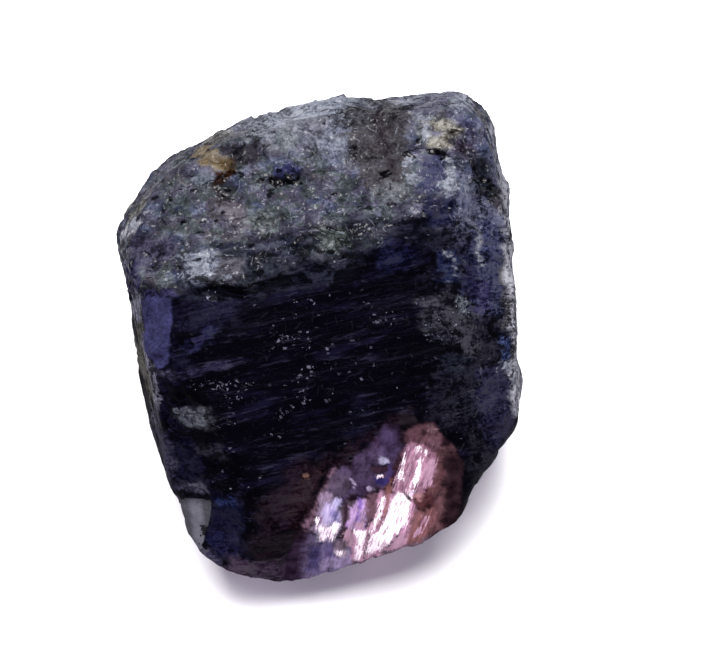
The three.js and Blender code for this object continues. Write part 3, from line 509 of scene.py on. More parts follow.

# painted light of the clear window: the glow of light passing through it and off its inner cracks, with
# painted highlights,
# glints and shade, over its own tints: outline, the colour seen, how many times brighter than the lamps show
# it, strength, width of the border
glows = {
    "base": ([(-2, -4), (10, -4), (10, -18), (-2, -18)], "281a22", 1.0, 1.0, 0.3),
    "mauve": ([(0.9, -7.1), (2, -7.4), (2.1, -6.8), (3.2, -6), (3.8, -4.9), (4.6, -5.1), (4.9, -6.3),
        (4.6, -7.4), (4.1, -8.7), (3, -8.9), (2.1, -9), (1.5, -9.6), (0.3, -9.8)], "5c4a6a", 1.0, 1.0, 0.3),
    "mauve, high": ([(3.7, -4.8), (4.7, -4.9), (4.9, -6.2), (3.2, -6.2)], "32263c", 1.0, 0.8, 0.5),
    "purple fold": ([(3.8, -5.3), (4.5, -5.3), (4.6, -6.8), (3.5, -6.8)], "58486e", 1.0, 0.7, 0.3),
    "left fold": ([(2.2, -6.8), (2.9, -6.4), (2.9, -7.7), (2.2, -8.1)], "5c4a6a", 1.0, 0.8, 0.2),
    "grey ledge": ([(0.6, -7.8), (1.7, -7.6), (2, -8.8), (1.2, -9.3), (0.3, -9)], "68586f", 1.0, 0.9, 0.3),
    "left facet": ([(0.3, -8.8), (1.3, -9.1), (0.7, -9.9), (0.1, -11), (-0.4, -11), (0, -9.9)],
        "a890ac", 1.0, 0.9, 0.2),
    "pink edge": ([(1, -7.2), (1.1, -7.5), (0.3, -8.9), (0, -9.8), (-0.5, -11), (-0.9, -10.8), (0, -9.1)],
        "87687a", 1.0, 0.95, 0.15),
    # the dimple: a painted highlight above, painted shade in its middle
    "dimple, high": ([(3.5, -6.8), (3.9, -6.8), (4, -7.2), (3.4, -7.2)], "c8c2e0", 1.2, 0.9, 0.12),
    "dimple, dark": ([(3, -7.3), (4.1, -7.2), (4, -7.7), (3.2, -7.75)], "170f1e", 1.0, 1.0, 0.12),
    "dimple, violet": ([(4, -7.3), (4.6, -7.2), (4.3, -8.1), (3.9, -8.2)], "54427a", 1.0, 0.85, 0.2),
    "dimple, blue": ([(3.1, -7.9), (4.2, -7.9), (3.9, -8.4), (3.3, -8.4)], "443b7c", 1.0, 0.95, 0.15),
    "edge glint": ([(1.8, -7.95), (2, -7.95), (2.3, -8.5), (2.1, -8.5)], "b9a6c4", 1.3, 0.9, 0.06),
    "lower edge glint": ([(2.85, -8.5), (3.1, -8.5), (3.4, -8.8), (3.1, -8.9)], "b5a5c0", 1.3, 0.9, 0.08),
    "red gap": ([(4.6, -6.5), (4.95, -6.5), (4.5, -8), (4.1, -8.8), (3.8, -8.9), (4.3, -7.9)],
        "4a2a30", 1.0, 0.9, 0.15),
    "lavender": ([(0.4, -9.5), (1.4, -9.3), (1.5, -10.4), (1.2, -10.8), (0.2, -10.8)],
        "bcaed6", 1.3, 0.95, 0.25),
    "lavender core": ([(0.9, -9.8), (1.3, -9.8), (1.4, -10.4), (0.8, -10.6)], "8478be", 1.2, 0.7, 0.15),
    "lavender, pale": ([(1.1, -9.1), (1.4, -9.1), (1.4, -9.6), (1.1, -9.6)], "c4bce6", 1.3, 0.9, 0.1),
    "dark groove": ([(1.5, -9.3), (2, -9.3), (1.9, -10.7), (1.4, -11.2), (1.1, -11.8), (0.8, -11.8),
        (1.4, -10.9)], "6c5a68", 1.0, 0.95, 0.2),
    "beside the foot": ([(-2.4, -11), (-0.2, -11.3), (-0.2, -16), (-2.6, -16)], "46344c", 1.0, 0.95, 0.5),
    "foot": ([(-0.3, -11.4), (1.2, -11.6), (2.1, -11.9), (2.2, -13), (2.2, -16), (-1.1, -16), (-0.7, -13)],
        "86789e", 1.1, 0.95, 0.8),
    "foot, blue": ([(-0.4, -11.9), (0.3, -11.9), (0.4, -13.4), (-0.6, -13.6)], "5c5488", 1.0, 0.85, 0.3),
    "foot, violet": ([(0.4, -12), (0.9, -12), (0.9, -12.9), (0.4, -12.9)], "7a6aa0", 1.0, 0.8, 0.15),
    "foot, pale": ([(0.2, -12.9), (2, -12.5), (2.1, -13.1), (1.5, -13.4), (0.2, -13.5)],
        "b29ec6", 1.1, 0.8, 0.15),
    "foot, grey": ([(1, -11.6), (1.9, -11.7), (1.9, -12.2), (1, -12.2)], "927c8a", 1.0, 0.8, 0.15),
    "foot glint": ([(1, -12.2), (1.7, -12.1), (1.7, -12.7), (1, -12.7)], "c8b4c4", 1.2, 0.9, 0.15),
    "violet block": ([(2, -9.6), (2.4, -9.2), (2.9, -9.1), (3, -10.2), (2.9, -11.1), (1.8, -11.1),
        (1.8, -10.6)], "c2a0cc", 1.3, 0.95, 0.12),
    "violet core": ([(2.35, -9.2), (2.65, -9.2), (2.6, -10.3), (2.4, -10.5)], "9672cc", 1.2, 0.85, 0.08),
    "plum": ([(2.9, -9.1), (3.7, -8.9), (3.8, -9.4), (3.4, -10.2), (2.9, -10.9), (2.8, -10.3)],
        "825f6c", 1.0, 0.95, 0.12),
    "rose": ([(1.6, -11.2), (2.1, -10.9), (2.2, -11.8), (1.9, -12.1), (1.4, -11.7)],
        "c8a0b6", 1.2, 0.95, 0.12),
    "pale field": ([(3.7, -8.9), (4.3, -9), (4.6, -8.7), (5.1, -8.7), (5.7, -9.5), (5.7, -10.2), (5.4, -11),
        (5.2, -12.1), (2.6, -13.1), (1.9, -13), (2.1, -11), (3, -11.1)], "dca6c4", 1.2, 1.0, 0.2),
    "orange vein": ([(4.2, -8), (4.4, -8.1), (4.3, -8.8), (4.05, -9.5), (3.75, -10.4), (3.6, -11),
        (3.45, -11), (3.55, -10.3), (3.85, -9.4), (4, -8.7)], "a4706a", 1.0, 0.85, 0.1),
    "upper brown": ([(5.2, -4.7), (6.6, -4.8), (7.2, -5.8), (7, -6.9), (6.3, -6.9), (5, -6)],
        "76525c", 1.0, 0.95, 0.3),
    "brown, pale": ([(6.4, -5.6), (7.1, -5.9), (7.1, -6.5), (6.8, -7.1), (6.4, -6.9)],
        "8c6672", 1.0, 0.85, 0.2),
    "brown spot": ([(6, -5.1), (6.3, -5.2), (6.2, -5.5), (5.9, -5.4)], "3a262c", 1.0, 0.85, 0.15),
    "brown crest": ([(6.2, -4.9), (6.7, -5.1), (6.8, -5.4), (6.4, -5.2)], "9a7a80", 1.0, 0.8, 0.12),
    "brown side": ([(7, -6.2), (7.7, -6.2), (8.2, -7.4), (8.1, -9), (7.4, -10.7), (6.9, -11.6),
        (6.2, -12.2), (6.6, -9.8), (6.6, -8.6)], "7c575e", 1.0, 1.0, 0.6),
    "brown, dark": ([(7.3, -6.4), (8.3, -7), (8.4, -9), (7.8, -10.8), (7.1, -11.4), (7.2, -9), (7, -8)],
        "2a1c24", 1.0, 0.9, 0.6),
    "rosy border": ([(6.7, -7.2), (7.1, -6.8), (7.1, -8.2), (6.8, -9), (6.2, -9.2), (6.5, -8.4)],
        "7c5356", 1.0, 0.9, 0.2),
    "red brown": ([(5.6, -8.9), (6.3, -8.9), (6.9, -9.2), (6.8, -9.8), (5.7, -9.9)],
        "6e4346", 1.0, 0.85, 0.3),
    "rosy block": ([(5.6, -9.9), (6.7, -9.7), (6.8, -10.6), (6.4, -11.3), (5.9, -11.9), (5.3, -11.9),
        (5.4, -10.7)], "9c6a6c", 1.1, 0.9, 0.4),
    "rosy, pale": ([(5.5, -8.7), (6.1, -8.7), (6, -9.3), (5.6, -9.3)], "c48f94", 1.2, 0.9, 0.12),
    "upper streak": ([(5, -6.2), (5.3, -5.9), (6, -6.1), (6.5, -6.7), (6.9, -6.9), (6.7, -8.4), (6.1, -8.9),
        (5.1, -8.9), (4.5, -8.9), (4.8, -7.2)], "a87a90", 1.1, 1.0, 0.2),
    "upper white": ([(5.6, -6.2), (6, -6.6), (6.2, -7.3), (6.1, -8.2), (5.8, -8.8), (5, -8.8), (5.3, -8.1),
        (5.6, -7.3), (5.4, -6.6)], "d6a0ba", 1.1, 0.8, 0.2),
    "upper pink": ([(6.2, -7), (6.8, -7), (6.6, -8.3), (6.1, -8.7)], "c896ac", 1.1, 0.9, 0.15),
    "lip": ([(2, -13), (3, -12.95), (4.4, -12.35), (5.2, -12), (6.2, -11.7), (7.2, -11.2), (7.6, -16),
        (2, -16)], "8a7484", 1.0, 0.9, 0.12),
    "white star": ([(0, -10.6), (1.5, -10.4), (1.3, -11.3), (0.8, -11.7), (0, -11.6)],
        "d8cce6", 1.2, 0.7, 0.2),
}

# round swellings and hollows: centre on the map, radius, height
domes = {
    "dimple rim": (3.5, -7.4, 0.9, 0.22),
    "dimple": (3.5, -7.3, 0.4, -0.35),
    "knob": (10.7, -0.6, 0.6, 0.3),
}

# open grooves and steps: path, half width, depth
grooves = {
    "crust seam": ([(-5.6, 10.2), (-5.4, 6.5), (-5.2, 3.2)], 0.10, 0.10),
    "brown groove": ([(3.2, 13.9), (4, 12.6), (4.7, 10.7), (5.3, 7.6)], 0.28, 0.30),
    "right seam": ([(7.2, 12.2), (7.4, 8), (7.6, 2)], 0.10, 0.12),
    "outer seam": ([(8.8, 13), (9.4, 7), (9.9, 0.4)], 0.10, 0.12),
    "under the crust": ([(-7.2, 2.4), (-6.4, 3), (-4, 2.5), (-2, 3.4)], 0.22, 0.28),
    "panel edge": ([(-7.5, 2.2), (-7.4, 0.4), (-7.7, -1.4)], 0.12, 0.18),
}

# what the whole skin has: sizes and heights in millimetres
relief = {
    "tread": (14.0, 1.3, 0.04),          # growth steps: length and width of their noise, height of a step
    "hairline": (9.0, 0.30, 0.012),      # fine growth lines, in the same way
    "stepsPerNoise": 3.0,                # how many steps the noise is cut into
    "broken": [(1.8, 3, 0.55), (0.85, 4, 0.32), (0.42, 6, 0.15)],    # the crust's planes: size, seed, height
    "brokenOffCrust": 0.55,              # share of them elsewhere
    "brokenOnFace": 0.06,                # and on the even dark face
    "lamella": (0.55, 2.6, 2.0),         # the window's splinters: width, length, thickness
    "lamellaLean": 65,                   # degrees that they lean over on the map
    "lamellaHeight": 0.16,
    "lamellaRipple": 0.07,
    "carved": (3.0, 1.3),                # large planes of the far and lower sides: size, height
    "carvedRipple": (1.8, 0.45),
    "wave": (5.0, 0.30),                 # slow waves over everything
    "groundFade": 1.2,                   # height over the ground where all this fades out
}


def rowAngles():
    # angles around the grain axis; the steps shrink by a cosine wave where the near and upper side faces
    turn = 2.0 * math.pi * np.arange(crystal["rowsAround"]) / crystal["rowsAround"]
    return math.radians(crystal["rowsMiddle"]) + turn - crystal["rowsGathered"] * np.sin(turn)


def columnAngles():
    # angles from one end of the grain axis to the other, spread so that the long sides get even steps
    share = np.linspace(0.0, 1.0, crystal["rowsAlong"] + 1)
    return math.pi * share + crystal["tipsSpread"] * np.sin(2.0 * math.pi * share)


def bodySurface(direction):
    # a facet's plane is at reach / cosine; the sum of (cosine / reach)^power picks the nearest of them
    # with rounded edges, and the same sum weights their normals; typical only keeps the powers in range
    normals = np.array([directionOf(az, el) for _, az, el, _ in crystal["facets"]])
    reaches = np.array([reach for *_, reach in crystal["facets"]])
    power = crystal["sharpness"]
    typical = 10.0
    nearness = np.clip(direction @ normals.T, 0.0, None) * typical / reaches
    total = np.sum(nearness ** power, axis=1)
    point = direction * (typical / total ** (1.0 / power))[:, None]
    normal = (nearness ** (power - 1) / reaches) @ normals
    return point, normal / np.linalg.norm(normal, axis=1, keepdims=True)


def alongGrain(point, length, width):
    # coordinates that draw a pattern out along the grain: its cells are length long and width wide
    return np.stack([point @ grainAxis / length, point @ levelAxis / width, point @ liftAxis / width], axis=1)


def hiddenDepth(point, normal):
    # what turns away from the near side counts as up to 6 mm outside every outline, past a border made
    # ragged by noise
    ragged = 0.5 + 0.5 * cloudNoise(point / 2.0, 3, 17)
    return smooth(-(normal @ outOfFace) - 0.35 * ragged, 0.0, 0.25) * 6.0


def markDepths(point, normal):
    # how far inside each mark's outline every point is, with the outline made ragged by noise
    u, v = point[:, 0], point @ upFace
    behind = hiddenDepth(point, normal)
    ragged = cloudNoise(point / 0.9, 3, 11)
    return {
        name: depthInside(u, v, outline) + ragged * wander - behind
        for name, (outline, _, _, wander) in marks.items()
    }


def mapRelief(point, depth, front):
    # each mark's lift inside its outline, and bell-shaped grooves and domes on the near side
    u, v = point[:, 0], point @ upFace
    height = np.zeros(len(point))
    for name, (_, lift, edge, _) in marks.items():
        height += lift * smooth(depth[name], -edge, edge)
    shift = cloudNoise(point / 0.7, 2, 41) * 0.12
    for path, halfWidth, deep in grooves.values():
        distance = distanceToPath(u + shift, v + shift, path)
        height -= deep * np.exp(-(distance / halfWidth) ** 2) * front
    for middle, level, radius, rise in domes.values():
        height += rise * np.exp(-((u - middle) ** 2 + (v - level) ** 2) / radius ** 2) * front
    return height


def growthSteps(point):
    # noise drawn out along the grain and cut into treads, with fine lines on them
    length, width, rise = relief["tread"]
    treads = cloudNoise(alongGrain(point, length, width), 3, 5) * relief["stepsPerNoise"]
    tread = np.floor(treads) + smooth(treads - np.floor(treads), 0.2, 0.8)
    length, width, fineRise = relief["hairline"]
    return tread * rise + cloudNoise(alongGrain(point, length, width), 2, 8) * fineRise


def lamellae(point):
    # broken planes and a ripple, narrow across the window's lean and long up it
    u, v, out = point[:, 0], point @ upFace, point @ liftAxis
    lean = math.radians(relief["lamellaLean"])
    across = u * math.sin(lean) - v * math.cos(lean)
    upwards = u * math.cos(lean) + v * math.sin(lean)
    width, length, thickness = relief["lamella"]
    split = np.stack([across / width, upwards / length, out / thickness], axis=1)
    ripple = cloudNoise(split * 1.7, 3, 9) * relief["lamellaRipple"]
    return brokenPlanes(split, 21, 1.5) * relief["lamellaHeight"] + ripple


def reliefHeight(point, normal, depth):
    # everything that stands over or under the facets, each kind where its mark lets it
    facing = normal @ outOfFace
    crusted = smooth(depth["crust"], -0.1, 0.25)
    window = smooth(depth["window"], -0.1, 0.2)
    striated = growthSteps(point) * (1.0 - 0.6 * crusted) * (1.0 - window)

    broken = sum(brokenPlanes(point / size, seed) * rise for size, seed, rise in relief["broken"])
    even = smooth(depth["evenFace"], -0.6, 1.0) * (1.0 - crusted)
    elsewhere = relief["brokenOffCrust"]
    share = elsewhere + (1.0 - elsewhere) * crusted - (elsewhere - relief["brokenOnFace"]) * even
    crustRough = broken * share * (1.0 - window) * (0.5 + 0.5 * smooth(facing, 0.1, 0.6))

    # the far and lower sides are carved more deeply
    size, rise = relief["carved"]
    rippleSize, rippleRise = relief["carvedRipple"]
    carved = brokenPlanes(point / size, 12) * rise + cloudNoise(point / rippleSize, 3, 14) * rippleRise - 0.12
    waveSize, waveRise = relief["wave"]
    wavy = cloudNoise(point / waveSize, 2, 31) * waveRise
    height = mapRelief(point, depth, smooth(facing, -0.1, 0.2)) + striated + crustRough
    return height + lamellae(point) * window + wavy + np.minimum(carved, 0.0) * smooth(-facing, 0.1, 0.5)


def chipDepth(direction):
    # bell-shaped hollows around a few directions
    total = np.zeros(len(direction))
    for _, azimuth, elevation, halfWidth, depth in crystal["chips"]:
        away = np.degrees(np.arccos(np.clip(direction @ directionOf(azimuth, elevation), -1.0, 1.0)))
        total += depth * np.exp(-(away / halfWidth) ** 2)
    return total


def crystalPoints():
    # directions on rings around the grain axis, and one at each end; every point is the facets' surface plus
    # relief along its normal, less the chips, drawn in where it would go under the ground
    turn, tip = np.meshgrid(rowAngles(), columnAngles()[1:-1])
    turn, tip = turn.ravel(), tip.ravel()
    around = np.cos(turn)[:, None] * levelAxis + np.sin(turn)[:, None] * liftAxis
    direction = -np.cos(tip)[:, None] * grainAxis + np.sin(tip)[:, None] * around
    direction = np.vstack([direction, -grainAxis, grainAxis])
    point, normal = bodySurface(direction)
    ground = -crystal["heart"][2]
    fade = smooth(point[:, 2], ground + 0.05, ground + relief["groundFade"])
    height = (reliefHeight(point, normal, markDepths(point, normal)) - chipDepth(direction)) * fade
    place = point + normal * height[:, None]
    low = place[:, 2] < ground
    place[low] *= (ground / place[low, 2])[:, None]
    return place, point, normal


def crystalFaces():
    # quads between neighbouring rings, and a fan of triangles at each end
    around, rings = crystal["rowsAround"], crystal["rowsAlong"] - 1
    ring, spot = np.meshgrid(np.arange(rings - 1), np.arange(around), indexing="ij")
    after = (spot + 1) % around
    quads = np.stack([ring * around + spot, ring * around + after,
                      (ring + 1) * around + after, (ring + 1) * around + spot], axis=-1).reshape(-1, 4)
    spot = np.arange(around)
    after = (spot + 1) % around
    start = np.stack([np.full(around, rings * around), after, spot], axis=1)
    last = (rings - 1) * around
    end = np.stack([np.full(around, rings * around + 1), last + spot, last + after], axis=1)
    return quads.tolist() + start.tolist() + end.tolist()


def paintedShares(point, normal, areas, seed, comb):
    # how much of each area covers every point: strength inside its outline, fading over its ragged border;
    # the map is pushed about in small broken planes and combed out along the grain first, so that borders
    # run along chips and growth lines, and walls seen edge-on get a border more ragged than the rest
    pushed = point / 0.6
    u = point[:, 0] + brokenPlanes(pushed, seed + 1) * 0.35
    v = point @ upFace + brokenPlanes(pushed, seed + 2) * 0.35
    combed = cloudNoise(alongGrain(point, 7.0, 0.3), 3, seed + 9) * comb * smooth(np.abs(u), 10.0, 9.0)
    wall = smooth(normal @ outOfFace, 0.35, 0.1) * cloudNoise(point / 1.6, 4, seed + 5) * 1.5
    behind = hiddenDepth(point, normal) + wall
    ragged = cloudNoise(point / 0.8, 4, seed) * 0.8
    for outline, *value, strength, edge in areas.values():
        depth = depthInside(u + combed * min(edge / 0.5, 1.0), v, outline) + ragged * edge - behind
        yield value, strength * smooth(depth, -0.5 * edge, 0.5 * edge)


def paintedColour(point, normal, areas, start, seed, comb=0.0):
    # areas laid over each other in turn: a share of each colour replaces what is under it
    tint = np.tile(np.append(start, 0.0), (len(point), 1))
    for (code, *boost), share in paintedShares(point, normal, areas, seed, comb):
        share = share[:, None]
        painted = np.minimum(pigment(code) * math.prod(boost), 0.95)
        tint = tint * (1.0 - share) + np.append(painted, 1.0) * share
    return tint


def paintedMost(point, normal, areas, seed):
    # the largest share of any area
    return np.max([share for _, share in paintedShares(point, normal, areas, seed, 0.0)], axis=0)


def patchDepth(point, normal, outlines):
    # the depth inside whichever outline is nearest, never less than 2 mm outside
    u, v = point[:, 0], point @ upFace
    nearest = np.max([depthInside(u, v, outline) for outline in outlines], axis=0)
    return nearest.clip(-2.0) - hiddenDepth(point, normal)


# the marks that the material reads too
finishedMarks = ["crust", "window", "banded", "fibrous", "leftPanel", "glassFacet", "speckledRight"]


def buildCrystal():
    # the points stretched to fill the CAD box, with what the material reads: a number or a colour at each
    place, point, normal = crystalPoints()
    low, high = np.array(cadBox[0]), np.array(cadBox[1])
    placeLow = place.min(axis=0)
    stretch = (high - low) / (place.max(axis=0) - placeLow)
    fitted = low + (place - placeLow) * stretch
    point = (low + (point - placeLow) * stretch) * 1000.0 - np.array(crystal["heart"])
    depth = markDepths(point, normal)
    mesh = bpy.data.meshes.new("tanzanite_surface")
    mesh.from_pydata(fitted.tolist(), [], crystalFaces())
    mesh.update()
    mesh.shade_smooth()
    numbers = {name: depth[name] for name in finishedMarks}
    numbers |= {name: patchDepth(point, normal, outlines) for name, outlines in patches.items()}
    numbers["glitter"] = paintedMost(point, normal, glitters, 81)
    numbers["hidden"] = smooth(-(normal @ outOfFace), -0.05, 0.3)
    for name, values in numbers.items():
        layer = mesh.attributes.new(name, "FLOAT", "POINT")
        layer.data.foreach_set("value", values.astype(np.float32))
    colours = {
        "washAndPaintedLight": paintedColour(point, normal, washesAndPaintedLight, pigment("000000"), 61, 0.8),
        "glow": paintedColour(point, normal, glows, pigment("2a1a20"), 71),
    }
    for name, values in colours.items():
        layer = mesh.attributes.new(name, "FLOAT_COLOR", "POINT")
        layer.data.foreach_set("color", values.astype(np.float32).ravel())
    piece = bpy.data.objects.new("tanzanite_surface", mesh)
    bpy.context.scene.collection.objects.link(piece)
    return piece


body = buildCrystal()
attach(body, "root")
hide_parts("tanzanite_crystal")
print("crystal built,", len(body.data.polygons), "faces")


class Wire:
    # a socket that takes part in expressions: each operator adds one Math node
    def __init__(self, graph, socket):
        self.graph = graph
        self.socket = socket

    def join(self, operation, *values):
        return self.graph.add("ShaderNodeMath", {"operation": operation}, dict(enumerate(values)))

    def __add__(self, other):
        return self.join("ADD", self, other)

    def __sub__(self, other):
        return self.join("SUBTRACT", self, other)

    def __rsub__(self, other):
        return self.join("SUBTRACT", other, self)

    def __mul__(self, other):
        return self.join("MULTIPLY", self, other)

    def __pow__(self, other):
        return self.join("POWER", self, other)

    __radd__ = __add__
    __rmul__ = __mul__

    def size(self):
        return self.join("ABSOLUTE", self)

    def most(self, other):
        return self.join("MAXIMUM", self, other)

    def swing(self, amount):
        # how far a pattern swings about its middle, which is a half
        return (self - 0.5) * amount

    def beside(self, outlet):
        # another outlet of the same node
        return Wire(self.graph, self.socket.node.outputs[outlet])

    def smooth(self, low, high):
        # 0 below low and 1 above high; with low over high it falls instead
        return self.graph.add("ShaderNodeMapRange", {"interpolation_type": "SMOOTHSTEP"},
                              {"Value": self, "From Min": low, "From Max": high})


class Graph:
    # the nodes of one material or of the room
    def __init__(self, owner):
        owner.use_nodes = True
        self.tree = owner.node_tree
        self.tree.nodes.clear()

    def add(self, kind, settings=None, values=None, outlet=0):
        # any node: its settings first, then the values or links of its sockets
        node = self.tree.nodes.new(kind)
        for key, value in (settings or {}).items():
            setattr(node, key, value)
        for key, value in (values or {}).items():
            if isinstance(value, Wire):
                self.tree.links.new(value.socket, node.inputs[key])
            else:
                node.inputs[key].default_value = value
        return None if outlet is None else Wire(self, node.outputs[outlet])

    def mark(self, name, outlet="Fac"):
        return self.add("ShaderNodeAttribute", {"attribute_name": name}, outlet=outlet)

    def vector(self, operation, *values, outlet=0):
        return self.add("ShaderNodeVectorMath", {"operation": operation}, dict(enumerate(values)), outlet)

    def dot(self, vector, axis):
        return self.vector("DOT_PRODUCT", vector, tuple(axis), outlet="Value")

    def scaled(self, vector, factor):
        return self.vector("MULTIPLY", vector, (factor, factor, factor))

    def combine(self, x, y, z):
        return self.add("ShaderNodeCombineXYZ", None, {0: x, 1: y, 2: z})

    def grey(self, value):
        return self.combine(value, value, value)

    def noise(self, vector, scale, detail=2.0, roughness=0.5, outlet=0):
        return self.add("ShaderNodeTexNoise", None,
                        {"Vector": vector, "Scale": scale, "Detail": detail, "Roughness": roughness}, outlet)

    def cells(self, vector, scale, metric="EUCLIDEAN"):
        return self.add("ShaderNodeTexVoronoi", {"distance": metric},
                        {"Vector": vector, "Scale": scale}, "Color")

    def channel(self, tint, index):
        return self.add("ShaderNodeSeparateColor", None, {0: tint}, index)

    def blend(self, factor, first, second, kind="MIX"):
        # colours: the first where factor is 0, the second where it is 1
        first, second = (tint if isinstance(tint, Wire) else (*tint, 1.0) for tint in (first, second))
        return self.add("ShaderNodeMix", {"data_type": "RGBA", "blend_type": kind},
                        {0: factor, 6: first, 7: second}, 2)

    def tinted(self, first, second):
        # one colour seen through another
        return self.blend(1.0, first, second, "MULTIPLY")

    def gain(self, factor, tint):
        # a colour made lighter or darker by a number
        return self.tinted(tint, self.grey(factor))

    def mixed(self, share, first, second):
        # two shaders: the first where share is 0, the second where it is 1
        return self.add("ShaderNodeMixShader", None, {0: share, 1: first, 2: second})


tones = {
    "crustDark": pigment("121219"),
    "crustMid": pigment("4c4f5b"),
    "crustLight": pigment("a4a8b6"),
    "crustBlue": pigment("474f74"),
    "crustBrown": pigment("5a4f4f"),
    "crustGreen": pigment("4d5a54"),
    "crustPurple": pigment("544c66"),
    "faceBlack": pigment("050409"),
    "faceViolet": pigment("18162d"),
    # a painted sheen on the growth lines
    "faceSheen": pigment("3b3a50"),
    "paleShade": pigment("454a5e"),
    "paleLight": pigment("c6ccda"),
    # painted glow and glints, three times over the lamps' white
    "paintedGlowWhite": pigment("fff2f8") * 3.0,
    "panePink": pigment("e2b2cc") * 1.2,
    "paneStreak": pigment("d496b4"),
    "paneDark": pigment("4a3444"),
    "paneFringe": (0.62, 0.30, 0.62),
    "flake": pigment("86869a"),
    "crumbShade": pigment("6c7088"),
    # painted glints
    "sparkle": pigment("d8e2fc") * 1.2,
    "glass": pigment("83838e"),
    "panel": pigment("4b4b7a"),
    # black of painted shadows, and of the painted shade in pits
    "shadeBlack": pigment("050508"),
    # painted glints of the dashes
    "glintLine": pigment("b4bac6"),
}

# how much each pattern lightens or darkens the crust
crustLook = {
    "drift": 0.5,                        # slow changes
    "cloud": 1.5,
    "grit": 0.75,                        # the finest
    "blocks": 0.2,                       # square-cut blocks, grains and crumbs
    "grains": 0.18,
    "crumbs": 0.14,
    "speckle": 0.8,                      # crumbs on the speckled place
    "streak": 0.3,                       # growth streaks
    "streakBanded": 1.9,                 # and what the banded part adds to them
    "fibre": 1.3,                        # upright fibres of the right side
    "wrinkle": 0.22,                     # pale wrinkles
    "wrinkleFibrous": 0.3,
    "seam": 0.35,                        # dark seams between blocks
    "hued": 0.42,                        # share of green, purple, blue and brown in the grey
}

# each coat of the crystal, by the numbers on its shader's own sockets
coats = {
    "matte": {"Roughness": 0.8, "Specular IOR Level": 0.0},
    "wet": {"Roughness": 0.22, "IOR": 1.69, "Specular IOR Level": 0.4},
    "glossy": {"Roughness": 0.3, "IOR": 1.69, "Specular IOR Level": 0.1,
               "Specular Tint": (0.55, 0.5, 1.0, 1.0)},
    "glassy": {"Roughness": 0.12, "IOR": 1.69, "Specular IOR Level": 0.12},
    "clear": {"Roughness": 0.05, "IOR": 1.69, "Transmission Weight": 1.0},
}

coatShares = {
    "wetOnCrust": 0.18,
    "glossyOnFace": 0.06,
    "glassyOnWindow": 0.3,
    "clearOnWindow": 0.12,
}


def crustColours(g, place, blocky, grained):
    # mottled grey: clouds, square-cut blocks and grains of mixed lightness and hue, fine grit, growth streaks
    # in the banded part, fibres on the right side, dark seams and pale wrinkles
    look = crustLook
    drift = g.noise(place, 0.35, 3)
    blocks = g.cells(blocky, 1.1, "CHEBYCHEV")
    grains = g.cells(blocky, 2.8, "CHEBYCHEV")
    crumbs = g.cells(blocky, 6.0, "MANHATTAN")
    banded = g.mark("banded").smooth(-0.4, 0.6)
    fibrous = g.mark("fibrous").smooth(-0.4, 0.6)
    granular = 1.0 - g.noise(blocky, 0.55, 3).smooth(0.5, 0.6) * 0.6
    wrinkle = (g.noise(blocky, 2.6, 4, 0.6) - 0.5).size().smooth(0.045, 0.0)
    fibre = g.noise(g.combine(g.dot(place, (1.0, 0.0, 0.0)), g.dot(place, upFace) * 0.22, 0.0), 4.0, 4, 0.75)
    border = g.add("ShaderNodeTexVoronoi", {"feature": "DISTANCE_TO_EDGE"}, {"Vector": blocky, "Scale": 0.8})
    seam = border.smooth(0.04, 0.0) * g.noise(place, 0.8, 2).smooth(0.52, 0.6)
    speckled = g.mark("speckledRight").smooth(-0.3, 0.3)
    lightness = 0.5 + g.noise(place, 1.1, 7, 0.66).swing(look["cloud"]) + drift.swing(look["drift"])
    lightness += g.noise(place, 6.0, 4, 0.75).swing(look["grit"]) + g.channel(blocks, 0).swing(look["blocks"])
    lightness += g.channel(grains, 1).swing(granular * look["grains"])
    lightness += g.channel(crumbs, 1).swing(granular * look["crumbs"])
    lightness += g.channel(crumbs, 0).swing(speckled * look["speckle"])
    lightness += g.noise(grained, 1.7, 5, 0.62).swing(banded * look["streakBanded"] + look["streak"])
    lightness += fibre.swing(fibrous * look["fibre"])
    lightness += wrinkle * (fibrous * look["wrinkleFibrous"] + look["wrinkle"]) - seam * look["seam"]
    tint = g.blend(lightness.smooth(0.0, 0.5), tones["crustDark"], tones["crustMid"])
    tint = g.blend(lightness.smooth(0.5, 1.02), tint, tones["crustLight"])

    hue = g.noise(place, 0.9, 3, 0.6) + g.channel(blocks, 2).swing(0.12)
    other = g.noise(blocky, 0.7, 3, 0.6) + g.channel(grains, 2).swing(0.12)
    hued = g.blend(hue.smooth(0.45, 0.55), tones["crustGreen"], tones["crustPurple"])
    hued = g.blend(other.smooth(0.56, 0.66), hued, tones["crustBlue"])
    hued = g.blend(other.smooth(0.44, 0.36), hued, tones["crustBrown"])
    hued = g.gain(lightness.smooth(0.0, 0.95) * 1.6 + 0.25, hued)
    return g.blend(look["hued"], tint, hued), lightness, grains, drift


def dashes(g, place, scale, share, reach):
    # short straight dashes: one in each picked cell, turned its own way, reach long from its middle
    cell = g.cells(place, scale)
    away = g.vector("SUBTRACT", place, cell.beside("Position"))
    turn = g.channel(cell, 0) * math.pi
    cosine, sine = turn.join("COSINE", turn), turn.join("SINE", turn)
    right, up = g.dot(away, (1.0, 0.0, 0.0)), g.dot(away, upFace)
    beside = up * cosine - right * sine
    along = right * cosine + up * sine
    line = beside.size().smooth(0.035, 0.012) * along.size().smooth(reach, reach * 0.6)
    return line * g.channel(cell, 1).smooth(share, share - 0.02) * g.channel(cell, 2)


def glintDashes(g, tint, place, crust):
    # painted glints: short pale dashes, long ones and short ones, mostly on the crust
    where = crust.most(g.mark("fibrous").smooth(-0.4, 0.6) * 0.3).most(0.06)
    tint = g.blend(dashes(g, place, 1.1, 0.35, 0.3) * where * 0.5, tint, tones["glintLine"])
    return g.blend(dashes(g, place, 2.3, 0.35, 0.12) * where * 0.6, tint, tones["glintLine"])


